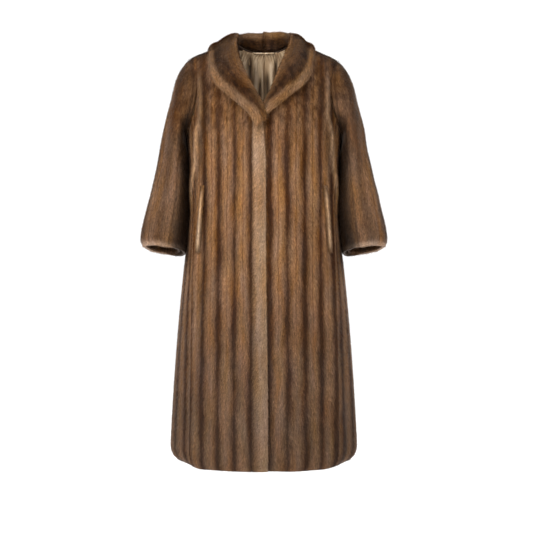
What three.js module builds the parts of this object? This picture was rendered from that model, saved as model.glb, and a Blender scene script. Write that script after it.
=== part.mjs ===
// A full-length fur coat with a wide rolled shawl collar, a lapped front and full sleeves.
// It is filled out as it hangs on a wearer, and it is hollow: neck, cuffs and hem are open.
// Millimetres, +Z up. The front faces -Y, and the wearer's left arm is on +X.
// The origin is on the wearer's upright axis, level with the seam at the back of the neck.
// Every outer surface lies where the fur reaches.

import * as THREE from "three";

// Driving dimensions
const HEM_Z = -1200; // hem, below the neck seam at the centre back
const WALL = 10; // fur, skin and lining together
const SEAM = 0.4; // gap between two pieces along a seam
const ROUNDNESS = 2.2; // exponent of the body's level sections, where 2 is an ellipse
const GROOVE = 3; // depth of the seam between two pelt strips
const STRIP = 51; // width of a pelt strip at the hem
const SHOULDER_POINT = { x: 215, z: -30 }; // end of the shoulder seam
const NECK_POINT = { x: 84, z: 20 }; // where the shoulder seam meets the neck
const YOKE_Z = -60; // level above which the rows follow the shoulders
const ARMHOLE = { middle: -146, height: 116, front: 80, back: 72 };
const SIDE_TOP_Z = -200; // where the side pieces' seams run into the armholes
const SIDE_SEAM = { top: 226, hem: 228 }; // from the centre line, along the cloth
const UNDERLAP = 45; // how far the left front goes past the centre, under the right one
const LAP = 11; // how far the right front's band goes past the centre
const BAND = 44; // width of the band along the right front's edge
const LAP_LIFT = 6; // how far the upper front rises where the fronts lap
const LAP_SINK = 5; // how far the lower front sinks there
const HEM_ROUNDING = 5; // how far the fur turns in at the hem and the cuffs

// Level sections of the body's outer surface, from the neck down. The first two close the
// form over the neck opening, for the collar to stand clear of.
const BODY = [
  { z: 60, half: 6, front: 4, back: 4, middle: 10 },
  { z: 40, half: 26, front: 9, back: 9, middle: 10 },
  { z: 24, half: 70, front: 24, back: 24, middle: 10 },
  { z: 20, half: 84, front: 33, back: 31, middle: 10 },
  { z: 8, half: 120, front: 51, back: 49, middle: 10 },
  { z: -2, half: 150, front: 65, back: 61, middle: 10 },
  { z: -12, half: 174, front: 77, back: 69, middle: 10 },
  { z: -20, half: 195, front: 86, back: 75, middle: 9 },
  { z: -30, half: 215, front: 95, back: 82, middle: 8 },
  { z: -60, half: 223, front: 112, back: 96, middle: 6 },
  { z: -100, half: 226, front: 127, back: 108, middle: 4 },
  { z: -150, half: 226, front: 141, back: 117, middle: 2 },
  { z: -200, half: 226, front: 152, back: 121, middle: 0 },
  { z: -262, half: 225, front: 158, back: 120, middle: 0 },
  { z: -350, half: 220, front: 155, back: 114, middle: 0 },
  { z: -444, half: 216, front: 149, back: 114, middle: 0 },
  { z: -520, half: 221, front: 155, back: 127, middle: 0 },
  { z: -600, half: 230, front: 165, back: 143, middle: 0 },
  { z: -700, half: 241, front: 173, back: 157, middle: 0 },
  { z: -900, half: 258, front: 187, back: 177, middle: 0 },
  { z: -1100, half: 270, front: 200, back: 191, middle: 0 },
  { z: -1200, half: 274, front: 206, back: 196, middle: 0 },
];

// The front neckline, from the shoulder seam down to the point of the V
const NECKLINE = [
  { z: 20, x: 84 },
  { z: 0, x: 81 },
  { z: -30, x: 75 },
  { z: -60, x: 68 },
  { z: -100, x: 54 },
  { z: -150, x: 33 },
  { z: -190, x: 13 },
  { z: -215, x: -4 },
  { z: -250, x: -UNDERLAP },
];

// Sleeve rings from shoulder to cuff: the upper or outer point, the lower or inner point,
// the depth of the ring's middle, half its depth, and how far its plane tips forward
const SLEEVE = [
  { at: 0, outX: 218, outZ: -32, inX: 226, inZ: -263, y: 3, depth: 80, tip: 0 },
  { at: 0.05, outX: 239, outZ: -54, inX: 227, inZ: -265, y: 3, depth: 86, tip: 0 },
  { at: 0.12, outX: 256, outZ: -88, inX: 226.5, inZ: -270, y: 5, depth: 90, tip: 0 },
  { at: 0.2, outX: 271, outZ: -150, inX: 226, inZ: -282, y: 8, depth: 92, tip: -2 },
  { at: 0.32, outX: 291, outZ: -228, inX: 224, inZ: -308, y: 12, depth: 92, tip: -4 },
  { at: 0.45, outX: 305, outZ: -298, inX: 221, inZ: -345, y: 17, depth: 90, tip: -4 },
  { at: 0.58, outX: 321, outZ: -368, inX: 218, inZ: -395, y: 19, depth: 86, tip: 0 },
  { at: 0.72, outX: 339, outZ: -438, inX: 219, inZ: -458, y: 15, depth: 81, tip: 6 },
  { at: 0.86, outX: 353, outZ: -508, inX: 225, inZ: -528, y: 4, depth: 75, tip: 9 },
  { at: 0.97, outX: 362, outZ: -563, inX: 232.5, inZ: -584, y: -8, depth: 70, tip: 11 },
  { at: 1, outX: 361, outZ: -582, inX: 234, inZ: -600, y: -11, depth: 69, tip: 11 },
];

// The collar's left half from the centre back to the front, starting on the neckline: how
// far round it, how far down it on the front, the top of the roll, the free edge, how far
// the fall swells, and the thickness
const COLLAR_BACK = [
  { at: 0, down: 0, roll: [0, 72, 46], edge: [0, 106, -38], swell: 5, thick: 16 },
  { at: 0.1, down: 0, roll: [36, 67, 45], edge: [56, 100, -38], swell: 5, thick: 16 },
  { at: 0.2, down: 0, roll: [62, 50, 45], edge: [104, 82, -34], swell: 6, thick: 16 },
  { at: 0.32, down: 0, roll: [80, 12, 41], edge: [147, 14, -5], swell: 6, thick: 16 },
];
const COLLAR_LEFT = [
  { at: 0.42, down: 13, roll: [79, -28, 31], edge: [148, -60, -38], swell: 7, thick: 17 },
  { at: 0.52, down: 43, roll: [72, -68, -3], edge: [141, -102, -84], swell: 8, thick: 19 },
  { at: 0.63, down: 86, roll: [56, -108, -52], edge: [111, -136, -131], swell: 7, thick: 19 },
  { at: 0.75, down: 129, roll: [39, -132, -97], edge: [73, -152, -165], swell: 6, thick: 18 },
  { at: 0.87, down: 171, roll: [22, -146, -143], edge: [37, -161, -196], swell: 4, thick: 16 },
  { at: 1, down: 204, roll: [9, -154, -184], edge: [12, -164, -219], swell: 2, thick: 12 },
];

// The right half laps over the left one and runs out on the band
const COLLAR_RIGHT = [
  { at: 0.42, down: 13, roll: [79, -28, 31], edge: [157, -62, -40], swell: 7, thick: 17 },
  { at: 0.52, down: 43, roll: [73, -68, -3], edge: [158, -98, -78], swell: 9, thick: 19 },
  { at: 0.63, down: 86, roll: [59, -108, -52], edge: [131, -140, -134], swell: 8, thick: 19 },
  { at: 0.75, down: 129, roll: [38, -136, -104], edge: [88, -158, -177], swell: 6, thick: 18 },
  { at: 0.87, down: 176, roll: [16, -156, -158], edge: [55, -170, -206], swell: 4, thick: 16 },
  { at: 0.95, down: 212, roll: [7, -167, -196], edge: [38, -176, -228], swell: 2, thick: 13 },
  { at: 1, down: 241, roll: [2, -172, -224], edge: [29, -177, -250], swell: 1, thick: 9 },
];
const SHOULDER_AT = 0.32; // where the collar passes the shoulder seam
const COLLAR_STEPS = [
  0, 0.08, 0.15, 0.21, 0.26, 0.3, 0.34, 0.38, 0.42, 0.46, 0.51, 0.57, 0.64, 0.72, 0.8, 0.87, 0.94, 1,
];

const FUR = new THREE.MeshStandardMaterial({ color: 0x7d5a3c, roughness: 0.85, metalness: 0 });
const RIM_FUR = new THREE.MeshStandardMaterial({ color: 0x8f6d52, roughness: 0.85, metalness: 0 });
const SATIN = new THREE.MeshStandardMaterial({ color: 0xb39b7a, roughness: 0.45, metalness: 0 });

const mix = (a, b, t) => a + (b - a) * t;
const clamp01 = (t) => Math.min(1, Math.max(0, t));
const ease = (t) => clamp01(t) ** 2 * (3 - 2 * clamp01(t));

// One column of a table as a smooth function of another, with no overshoot between its rows
function column(table, key, by) {
  const rows = [...table].sort((a, b) => a[by] - b[by]);
  const x = rows.map((row) => row[by]);
  const y = rows.map((row) => (typeof key === "string" ? row[key] : row[key[0]][key[1]]));
  const rise = x.slice(1).map((value, i) => (y[i + 1] - y[i]) / (value - x[i]));
  const slope = y.map((_, i) => {
    if (i === 0) return rise[0];
    if (i === y.length - 1) return rise[i - 1];
    return rise[i - 1] * rise[i] <= 0 ? 0 : (2 * rise[i - 1] * rise[i]) / (rise[i - 1] + rise[i]);
  });
  return (at) => {
    const place = Math.min(x[x.length - 1], Math.max(x[0], at));
    let i = 0;
    while (i < x.length - 2 && place > x[i + 1]) i++;
    const step = x[i + 1] - x[i];
    const t = (place - x[i]) / step;
    const start = (1 + 2 * t) * (1 - t) ** 2 * y[i] + t * (1 - t) ** 2 * step * slope[i];
    const end = t * t * (3 - 2 * t) * y[i + 1] + t * t * (t - 1) * step * slope[i + 1];
    return start + end;
  };
}

const half = column(BODY, "half", "z");
const frontDepth = column(BODY, "front", "z");
const backDepth = column(BODY, "back", "z");
const middle = column(BODY, "middle", "z");
const neckX = column(NECKLINE, "x", "z");

const depthOf = (z, face) => (face < 0 ? frontDepth(z) : backDepth(z));
const roundOff = (share) => (1 - clamp01(share) ** ROUNDNESS) ** (1 / ROUNDNESS);

// The body's surface at a height, at a place across it. The face is -1 in front and 1 behind.
function onBody(x, z, face) {
  const y = middle(z) + face * depthOf(z, face) * roundOff(Math.abs(x) / half(z));
  return new THREE.Vector3(x, y, z);
}

// How far out a point lies, as a share of the section at its height, where 1 is the surface
function spread(x, y, z) {
  const away = y - middle(z);
  return (Math.abs(x) / half(z)) ** ROUNDNESS + (Math.abs(away) / depthOf(z, away)) ** ROUNDNESS;
}

function bodyNormal(p) {
  const d = 0.5;
  return new THREE.Vector3(
    spread(p.x + d, p.y, p.z) - spread(p.x - d, p.y, p.z),
    spread(p.x, p.y + d, p.z) - spread(p.x, p.y - d, p.z),
    spread(p.x, p.y, p.z + d) - spread(p.x, p.y, p.z - d),
  ).normalize();
}

// A quarter of the section at a height, as running lengths from the centre line to the side
const quarters = new Map();
function quarter(z, face) {
  const key = z.toFixed(3) + face;
  if (!quarters.has(key)) {
    const steps = 80;
    const points = [];
    let length = 0;
    for (let i = 0; i <= steps; i++) {
      const turn = (i / steps) * (Math.PI / 2);
      const x = half(z) * Math.sin(turn) ** (2 / ROUNDNESS);
      const y = middle(z) + face * depthOf(z, face) * Math.cos(turn) ** (2 / ROUNDNESS);
      if (i) length += Math.hypot(x - points[i - 1].x, y - points[i - 1].y);
      points.push({ x, y, length });
    }
    quarters.set(key, points);
  }
  return quarters.get(key);
}

function between(points, key, value) {
  let i = 0;
  while (i < points.length - 2 && value > points[i + 1][key]) i++;
  return [points[i], points[i + 1], (value - points[i][key]) / (points[i + 1][key] - points[i][key])];
}

// The surface at a running length from the centre line; a negative one is on the right side
function atLength(length, z, face) {
  const [a, b, t] = between(quarter(z, face), "length", Math.abs(length));
  return new THREE.Vector3(Math.sign(length) * mix(a.x, b.x, t), mix(a.y, b.y, t), z);
}

function lengthAt(x, z, face) {
  const [a, b, t] = between(quarter(z, face), "x", Math.abs(x));
  return Math.sign(x) * mix(a.length, b.length, t);
}

const sideLength = (z, face) => quarter(z, face).at(-1).length;

// The armhole is an oval seen from the side, thrown on to the body
function armhole(z, face) {
  const up = clamp01(Math.abs(z - ARMHOLE.middle) / ARMHOLE.height);
  const away = (face < 0 ? ARMHOLE.front : ARMHOLE.back) * Math.sqrt(1 - up * up);
  const x = half(z) * roundOff(away / depthOf(z, face));
  return new THREE.Vector3(x, middle(z) + face * away, z);
}

// Running length from the centre line to a panel's outer edge: the armhole, then the side seam
function outerEdge(z, face) {
  const top = lengthAt(armhole(Math.max(z, SIDE_TOP_Z), face).x, Math.max(z, SIDE_TOP_Z), face);
  if (z >= SIDE_TOP_Z) return top;
  const down = (SIDE_TOP_Z - z) / (SIDE_TOP_Z - HEM_Z);
  return mix(top, face < 0 ? SIDE_SEAM.hem : SIDE_SEAM.top, ease(down * 3));
}

// The height of the shoulder seam at a place across the body
function ridgeZ(x) {
  let low = SHOULDER_POINT.z;
  let high = NECK_POINT.z;
  for (let i = 0; i < 40; i++) {
    const z = (low + high) / 2;
    if (half(z) > x) low = z;
    else high = z;
  }
  return (low + high) / 2;
}

// A closed wall from two grids of points. A ring's columns close on themselves.
function wall(outer, inner, ring = false) {
  const rows = outer.length;
  const columns = outer[0].length;
  const points = [...outer.flat(), ...inner.flat()];
  const index = [];
  const id = (i, j, side) => side * rows * columns + i * columns + (j % columns);
  const quad = (a, b, c, d) => index.push(a, b, c, a, c, d);
  const last = ring ? columns : columns - 1;
  for (let j = 0; j < last; j++) {
    for (let i = 0; i < rows - 1; i++) {
      quad(id(i, j, 0), id(i, j + 1, 0), id(i + 1, j + 1, 0), id(i + 1, j, 0));
      quad(id(i, j, 1), id(i + 1, j, 1), id(i + 1, j + 1, 1), id(i, j + 1, 1));
    }
    quad(id(0, j, 1), id(0, j + 1, 1), id(0, j + 1, 0), id(0, j, 0));
    quad(id(rows - 1, j, 0), id(rows - 1, j + 1, 0), id(rows - 1, j + 1, 1), id(rows - 1, j, 1));
  }
  for (let i = 0; i < rows - 1 && !ring; i++) {
    quad(id(i, 0, 0), id(i + 1, 0, 0), id(i + 1, 0, 1), id(i, 0, 1));
    quad(id(i, last, 1), id(i + 1, last, 1), id(i + 1, last, 0), id(i, last, 0));
  }
  let volume = 0;
  for (let i = 0; i < index.length; i += 3) {
    const [a, b, c] = index.slice(i, i + 3).map((n) => points[n]);
    volume += a.dot(new THREE.Vector3().crossVectors(b, c));
  }
  const geometry = new THREE.BufferGeometry().setFromPoints(points);
  geometry.setIndex(volume > 0 ? index : index.reverse());
  return geometry;
}

const moved = (p, way, by) => p.clone().addScaledVector(way, by);

function mesh(name, geometry, material) {
  geometry.computeVertexNormals();
  const made = new THREE.Mesh(geometry, material);
  made.name = name;
  return made;
}

// The outer points of a body panel. Each point of its grid says where it lies on the body,
// how deep its groove is and how far the whole wall is lifted there.
function outerPoints(grid) {
  const turnIn = (i) => (i === 0 ? HEM_ROUNDING : 0);
  return grid.map((row, i) =>
    row.map(({ at, lift, groove }) => moved(at, bodyNormal(at), lift - groove - turnIn(i))),
  );
}

function bodyWall(grid) {
  const inner = grid.map((row) => row.map(({ at, lift }) => moved(at, bodyNormal(at), lift - WALL)));
  return wall(outerPoints(grid), inner);
}

// The point of a panel's outer surface at a place across it and a height
function onPanel(points, x, z) {
  let i = 0;
  while (i < points.length - 2 && z > points[i + 1][0].z) i++;
  const up = (z - points[i][0].z) / (points[i + 1][0].z - points[i][0].z);
  const row = points[i].map((p, j) => p.clone().lerp(points[i + 1][j], up));
  let j = 0;
  while (j < row.length - 2 && Math.abs(x) > Math.abs(row[j + 1].x)) j++;
  return row[j].clone().lerp(row[j + 1], (x - row[j].x) / (row[j + 1].x - row[j].x));
}

const HEM_ROWS = [HEM_Z, HEM_Z + 12];
const LONG_ROWS = [-1120, -1040, -960, -880, -800, -720, -650, -590, -530, -480, -430, -370, -315, -262];
const CHEST_ROWS = [-230, SIDE_TOP_Z, -170, -140, -110, -84, YOKE_Z];
const YOKE_STEPS = [0.3, 0.55, 0.76, 0.9, 1];

// Blends four edges of a patch, each a function of its share, into the point inside them
function patch(bottom, top, left, right, across, up) {
  const sides = mix(left(up), right(up), across);
  const ends = mix(bottom(across), top(across), up);
  const corners = mix(mix(bottom(0), bottom(1), across), mix(top(0), top(1), across), up);
  return sides + ends - corners;
}

// Rows over the shoulder, from the chest's top row to the shoulder seam and the neckline
function yokeRows(face, columns, bottomX, topX, topZ, leftX, leftZ) {
  const edgeZ = (up) => mix(YOKE_Z, SHOULDER_POINT.z, up);
  const edgeX = (up) => armhole(edgeZ(up), face).x;
  return YOKE_STEPS.map((up) =>
    columns.map((across) => {
      const x = patch(bottomX, topX, leftX, edgeX, across, up);
      const z = patch(() => YOKE_Z, topZ, leftZ, edgeZ, across, up);
      return onBody(x, z, face);
    }),
  );
}

// A front: its running lengths from the centre, from its inner edge to the side seam
function frontGrid(side) {
  const firstCentre = side > 0 ? 16 : BAND - LAP;
  const inner = side > 0 ? -UNDERLAP : BAND - LAP;
  const strip = side > 0 ? STRIP : STRIP - 2;
  const lengths = [inner];
  if (side > 0) lengths.push(-12);
  for (let at = firstCentre; at < SIDE_SEAM.hem - 12; at += strip / 2) {
    if (at > inner + 1) lengths.push(at);
  }
  lengths.push(SIDE_SEAM.hem);
  const columns = lengths.map((length) => (length - inner) / (SIDE_SEAM.hem - inner));
  const isSeam = lengths.map((length) => {
    const place = (length - firstCentre) / strip;
    return length > firstCentre && Math.abs(place - Math.floor(place) - 0.5) < 0.1;
  });
  const innerEdge = (z) => {
    const x = side > 0 ? neckX(z) : Math.max(neckX(z) + 2, BAND - LAP + SEAM);
    return lengthAt(x, z, -1);
  };
  const lowRows = [...HEM_ROWS, ...LONG_ROWS, ...CHEST_ROWS].map((z) => {
    const from = innerEdge(z);
    const to = outerEdge(z, -1) - SEAM / 2;
    return columns.map((share, j) => {
      const pulled = (from - inner) * (1 - share) ** 3 + (to - SIDE_SEAM.hem) * share ** 3;
      const length = mix(lengths[j] + pulled, mix(from, to, share), ease((z + 250) / 120));
      return atLength(length, z, -1);
    });
  });
  const chestTop = lowRows.at(-1);
  const bottomX = (share) => {
    const i = columns.findIndex((value) => value >= share - 1e-9);
    return chestTop[i].x;
  };
  const topX = (share) => mix(NECK_POINT.x, SHOULDER_POINT.x, share);
  const topZ = (share) => ridgeZ(topX(share));
  const leftZ = (up) => mix(YOKE_Z, NECK_POINT.z, up);
  const leftX = (up) => neckX(leftZ(up)) + (side > 0 ? 0 : 2 * (1 - up));
  const yoke = yokeRows(-1, columns, bottomX, topX, topZ, leftX, leftZ);
  return [...lowRows, ...yoke].map((row) =>
    row.map((at, j) => {
      const length = lengthAt(at.x, at.z, -1);
      const fade = ease((-100 - at.z) / 120);
      const lapped = ease((-150 - at.z) / 60);
      const sink = -LAP_SINK * ease((62 - length) / 36);
      const lift = side > 0 ? sink : LAP_LIFT * ease((110 - length) / 60);
      const place = new THREE.Vector3(side * at.x, at.y - SEAM / 2, at.z);
      return { at: place, groove: isSeam[j] ? GROOVE * fade : 0, lift: lift * lapped };
    }),
  );
}

function backGrid() {
  const strips = 9;
  const shares = Array.from({ length: strips * 2 + 1 }, (_, i) => i / (strips * 2));
  const neckShare = 4 / strips; // of the way from the centre back to the shoulder point
  const lowRows = [...HEM_ROWS, ...LONG_ROWS, ...CHEST_ROWS].map((z) => {
    const to = outerEdge(z, 1) - SEAM / 2;
    return shares.map((share) => atLength(mix(-to, to, share), z, 1));
  });
  const chestTop = lowRows.at(-1);
  const bottomX = (share) => chestTop[Math.round(share * strips * 2)].x;
  const topX = (share) => {
    const out = Math.abs(2 * share - 1);
    const toNeck = NECK_POINT.x * Math.min(1, out / neckShare);
    const past = Math.max(0, (out - neckShare) / (1 - neckShare));
    return Math.sign(2 * share - 1) * (toNeck + (SHOULDER_POINT.x - NECK_POINT.x) * past);
  };
  const topZ = (share) => {
    const x = Math.abs(topX(share));
    return x > NECK_POINT.x ? ridgeZ(x) : NECK_POINT.z * (x / NECK_POINT.x) ** 2.2;
  };
  const edgeZ = (up) => mix(YOKE_Z, SHOULDER_POINT.z, up);
  const leftX = (up) => -armhole(edgeZ(up), 1).x;
  const yoke = yokeRows(1, shares, bottomX, topX, topZ, leftX, edgeZ);
  return [...lowRows, ...yoke].map((row) =>
    row.map((at, j) => {
      const fade = ease((-60 - at.z) / 100);
      const place = new THREE.Vector3(at.x, at.y + SEAM / 2, at.z);
      return { at: place, groove: j % 2 ? 0 : GROOVE * fade, lift: 0 };
    }),
  );
}

// A side piece runs from the front's seam round to the back's, under the armhole.
// Its running lengths count from the side, and are negative towards the front.
function sideGrid(side) {
  const columns = 12;
  const atSide = (length, z) => {
    const face = length < 0 ? -1 : 1;
    const point = atLength(sideLength(z, face) - Math.abs(length), z, face);
    return length === 0 ? new THREE.Vector3(half(z), middle(z), z) : point;
  };
  const lengthOf = (share, z) => {
    const from = -(sideLength(z, -1) - outerEdge(z, -1)) + SEAM / 2;
    const to = sideLength(z, 1) - outerEdge(z, 1) - SEAM / 2;
    return mix(from, to, share);
  };
  const bottomZ = ARMHOLE.middle - ARMHOLE.height;
  // The height at which a column meets the armhole
  const topOf = (share) => {
    let low = bottomZ;
    let high = SIDE_TOP_Z;
    for (let i = 0; i < 30; i++) {
      const z = (low + high) / 2;
      const length = lengthOf(share, z);
      const face = length < 0 ? -1 : 1;
      const reach = sideLength(z, face) - lengthAt(armhole(z, face).x, z, face);
      if (Math.abs(length) > reach) low = z;
      else high = z;
    }
    return (low + high) / 2;
  };
  const rows = [...HEM_ROWS, ...LONG_ROWS.slice(0, -1)];
  const upper = [0.35, 0.7, 1];
  const tops = Array.from({ length: columns + 1 }, (_, j) => topOf(j / columns));
  const heights = (j) => [...rows, ...upper.map((up) => mix(rows.at(-1), tops[j] - SEAM, up))];
  return Array.from({ length: rows.length + upper.length }, (_, i) =>
    tops.map((_, j) => {
      const z = heights(j)[i];
      const at = atSide(lengthOf(j / columns, z), z);
      at.x *= side;
      return { at, groove: j % 2 ? 0 : GROOVE * 0.8, lift: 0 };
    }),
  );
}

// The band along the right front's edge, lapped over the left front
function bandWall() {
  const shares = [0, 0.12, 0.35, 0.65, 0.88, 1];
  const rise = [-2, 0.5, 2, 1.5, -1, -4];
  const heights = [...HEM_ROWS, ...LONG_ROWS, -235, -212];
  const edgeX = (z) => LAP - 9 * ease((z + 330) / 110);
  const place = (z, share) => onBody(mix(LAP - BAND, edgeX(z), share), z, -1);
  const forward = new THREE.Vector3(0, -1, 0);
  const turnIn = (i) => (i === 0 ? HEM_ROUNDING : 0);
  const outer = heights.map((z, i) =>
    shares.map((share, j) => moved(place(z, share), forward, LAP_LIFT + rise[j] - turnIn(i))),
  );
  const inner = heights.map((z) =>
    shares.map((share) => moved(place(z, share), forward, LAP_LIFT - WALL)),
  );
  return wall(outer, inner);
}

const sleeveColumn = Object.fromEntries(
  ["outX", "outZ", "inX", "inZ", "y", "depth", "tip"].map((key) => [key, column(SLEEVE, key, "at")]),
);

// The left sleeve's outer surface: a share of the way down it, and a turn from its upper side
// round the back
function onSleeve(at, turn) {
  const value = (key) => sleeveColumn[key](at);
  const tip = THREE.MathUtils.degToRad(value("tip"));
  const wide = Math.cos(turn);
  const deep = Math.sin(turn) * value("depth");
  const point = new THREE.Vector3(
    mix(value("inX"), value("outX"), (1 + wide) / 2),
    value("y") + deep * Math.cos(tip),
    mix(value("inZ"), value("outZ"), (1 + wide) / 2) - deep * Math.sin(tip),
  );
  const seamZ = ARMHOLE.middle + ARMHOLE.height * wide;
  const seam = armhole(seamZ, deep >= 0 ? 1 : -1);
  seam.x += 2 * SEAM;
  return point.lerp(seam, ease(1 - at / 0.1));
}

function sleeveNormal(at, turn) {
  const d = 0.004;
  const along = onSleeve(Math.min(1, at + d), turn).sub(onSleeve(Math.max(0, at - d), turn));
  const round = onSleeve(at, turn + 0.02).sub(onSleeve(at, turn - 0.02));
  return new THREE.Vector3().crossVectors(along, round).normalize();
}

// At the armhole the sleeve's wall lines up with the body's, and under the arm it turns down
function seamWay(turn) {
  const seamZ = ARMHOLE.middle + ARMHOLE.height * Math.cos(turn);
  const onEdge = armhole(seamZ, Math.sin(turn) >= 0 ? 1 : -1);
  const radial = new THREE.Vector3(0, Math.sin(turn), Math.cos(turn));
  return bodyNormal(onEdge).lerp(radial, ease(0.4 - Math.cos(turn))).normalize();
}

const SLEEVE_STEPS = [0, 0.03, 0.07, 0.13, 0.2, 0.28, 0.37, 0.46, 0.55, 0.64, 0.73, 0.82, 0.91, 0.975, 1];
const SLEEVE_COLUMNS = 24;
const turnOf = (j) => (j / SLEEVE_COLUMNS) * 2 * Math.PI;
const sided = (p, side) => new THREE.Vector3(side * p.x, p.y, p.z);

function sleeveWall(side) {
  const turns = Array.from({ length: SLEEVE_COLUMNS }, (_, j) => turnOf(j));
  const way = (at, turn) => {
    const free = sleeveNormal(Math.max(at, 0.02), turn);
    return seamWay(turn).lerp(free, ease(at / 0.05)).normalize();
  };
  const depthIn = (at, j) => {
    const groove = j % 3 ? 0 : GROOVE * 0.8 * ease((at - 0.1) / 0.2);
    return at === 1 ? HEM_ROUNDING : groove;
  };
  const outer = SLEEVE_STEPS.map((at) =>
    turns.map((turn, j) => sided(moved(onSleeve(at, turn), way(at, turn), -depthIn(at, j)), side)),
  );
  const inner = SLEEVE_STEPS.map((at) =>
    turns.map((turn) => sided(moved(onSleeve(at, turn), way(at, turn), -WALL), side)),
  );
  return wall(outer, inner, true);
}

// Fur turned in at the cuff, lying against the inside of the sleeve
function cuffWall(side) {
  const thick = 6;
  const steps = [0.915, 0.975, 0.993];
  const turns = Array.from({ length: SLEEVE_COLUMNS }, (_, j) => turnOf(j));
  const ring = (by) =>
    steps.map((at) =>
      turns.map((turn) => sided(moved(onSleeve(at, turn), sleeveNormal(at, turn), -by), side)),
    );
  return wall(ring(WALL + 2 * SEAM), ring(WALL + 2 * SEAM + thick), true);
}

// The neckline, on the body's surface, where the collar is sewn on
function neckline(at, down) {
  const round = Math.min(1, at / SHOULDER_AT);
  const z = NECK_POINT.z * round ** 2.2 - down;
  if (down === 0) return onBody(NECK_POINT.x * round, z, 1);
  return onBody(neckX(z), z, -1);
}

// Moves a point out along the body's normal until it stands at least so far off the body
function standOff(p, least) {
  const way = bodyNormal(p);
  const tooNear = (by) => {
    const q = moved(p, way, by - least);
    return spread(q.x, q.y, q.z) < 1;
  };
  if (!tooNear(0)) return p.clone();
  let low = 0;
  let high = 60;
  for (let i = 0; i < 20; i++) {
    const by = (low + high) / 2;
    if (tooNear(by)) low = by;
    else high = by;
  }
  return moved(p, way, high);
}

// Half of the collar: up the stand from its seam, over the roll and down the fall
function collarWall(side) {
  const rows = [...COLLAR_BACK, ...(side > 0 ? COLLAR_LEFT : COLLAR_RIGHT)];
  const read = (key) => [0, 1, 2].map((axis) => column(rows, [key, axis], "at"));
  const lines = { roll: read("roll"), edge: read("edge") };
  const [down, swell, thick] = ["down", "swell", "thick"].map((key) => column(rows, key, "at"));
  const point = (key, at) => new THREE.Vector3(...lines[key].map((value) => value(at)));
  const across = (at) => {
    const onNeck = neckline(at, at > SHOULDER_AT ? Math.max(0.01, down(at)) : 0);
    const lift = side < 0 ? LAP_LIFT * ease((at - 0.8) / 0.1) : 0;
    const seam = moved(onNeck, bodyNormal(onNeck), 1 + lift);
    const [roll, edge] = ["roll", "edge"].map((key) => point(key, at));
    const fall = edge.clone().sub(roll);
    const along = point("edge", Math.min(1, at + 0.03)).sub(point("edge", Math.max(0, at - 0.03)));
    const out = new THREE.Vector3().crossVectors(fall, along).normalize();
    if (out.dot(bodyNormal(edge)) < 0) out.negate();
    const bulge = (share, by) => roll.clone().lerp(edge, share).addScaledVector(out, by);
    const full = swell(at);
    return [
      seam,
      seam.clone().lerp(roll, 0.55),
      roll,
      bulge(0.14, full * 0.75),
      bulge(0.4, full * 1.1),
      bulge(0.7, full * 0.85),
      bulge(0.9, full * 0.4),
      edge,
    ];
  };
  const grid = COLLAR_STEPS.map((at) => across(at));
  const lastRow = COLLAR_STEPS.length - 1;
  const outer = [];
  const inner = [];
  grid.forEach((row, i) => {
    const before = grid[Math.max(0, i - 1)];
    const after = grid[Math.min(lastRow, i + 1)];
    const ways = row.map((_, j) => {
      const along = after[j].clone().sub(before[j]);
      const over = row[Math.min(row.length - 1, j + 1)].clone().sub(row[Math.max(0, j - 1)]);
      const way = new THREE.Vector3().crossVectors(along, over);
      if (i === 0) way.x = 0;
      return way.normalize();
    });
    const taper = [0.6, 0.7, 0.85, 0.95, 1, 1, 0.8, 0.25];
    const by = (j) => (thick(COLLAR_STEPS[i]) / 2) * taper[j];
    const onShoulder = 3.2 * ease(1 - Math.abs(COLLAR_STEPS[i] - 0.42) / 0.28);
    const onBand = side < 0 ? ease((COLLAR_STEPS[i] - 0.72) / 0.12) : 0;
    const off = 2 + onShoulder + (LAP_LIFT + 2) * onBand;
    outer.push(row.map((p, j) => standOff(moved(p, ways[j], by(j)), j < 2 ? 0.6 : off + by(j))));
    inner.push(row.map((p, j) => standOff(moved(p, ways[j], -by(j)), j < 2 ? 0.6 : off)));
  });
  const place = (rowsOf) =>
    rowsOf.map((row) => row.map((p) => new THREE.Vector3(side * (p.x + SEAM / 2), p.y, p.z)));
  return wall(place(outer), place(inner));
}

// A pocket's welt: a narrow raised edge along the slit, lying on the front
function weltWall(side) {
  const slit = { top: -408, bottom: -597, x: [173, 187], wide: 12, high: 6 };
  const steps = [0, 0.12, 0.4, 0.7, 0.9, 1];
  const panel = outerPoints(frontGrid(side));
  const at = (share, across, by) => {
    const z = mix(slit.top, slit.bottom, share);
    const x = mix(slit.x[0], slit.x[1], share) + (across - 0.5) * slit.wide;
    const p = onPanel(panel, side * x, z);
    return moved(p, bodyNormal(p), by);
  };
  const rise = (share, across) => {
    const end = share === 0 || share === 1 ? 0.3 : 1;
    return 2 + slit.high * end * (across === 0.5 ? 1 : 0.45);
  };
  const outer = steps.map((share) => [0, 0.5, 1].map((across) => at(share, across, rise(share, across))));
  const inner = steps.map((share) => [0, 0.5, 1].map((across) => at(share, across, 0.95)));
  return wall(outer, inner);
}

// The back lining hangs in loose, uneven gathers from the neck seam, inside the back
const LINING = { thick: 1.5, top: -4, neckReach: 66, reach: 118 };
const GATHERS = [
  { count: 5.5, start: 0.6, deep: 1 },
  { count: 9, start: 2.1, deep: 0.55 },
  { count: 14, start: 4, deep: 0.3 },
];

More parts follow.
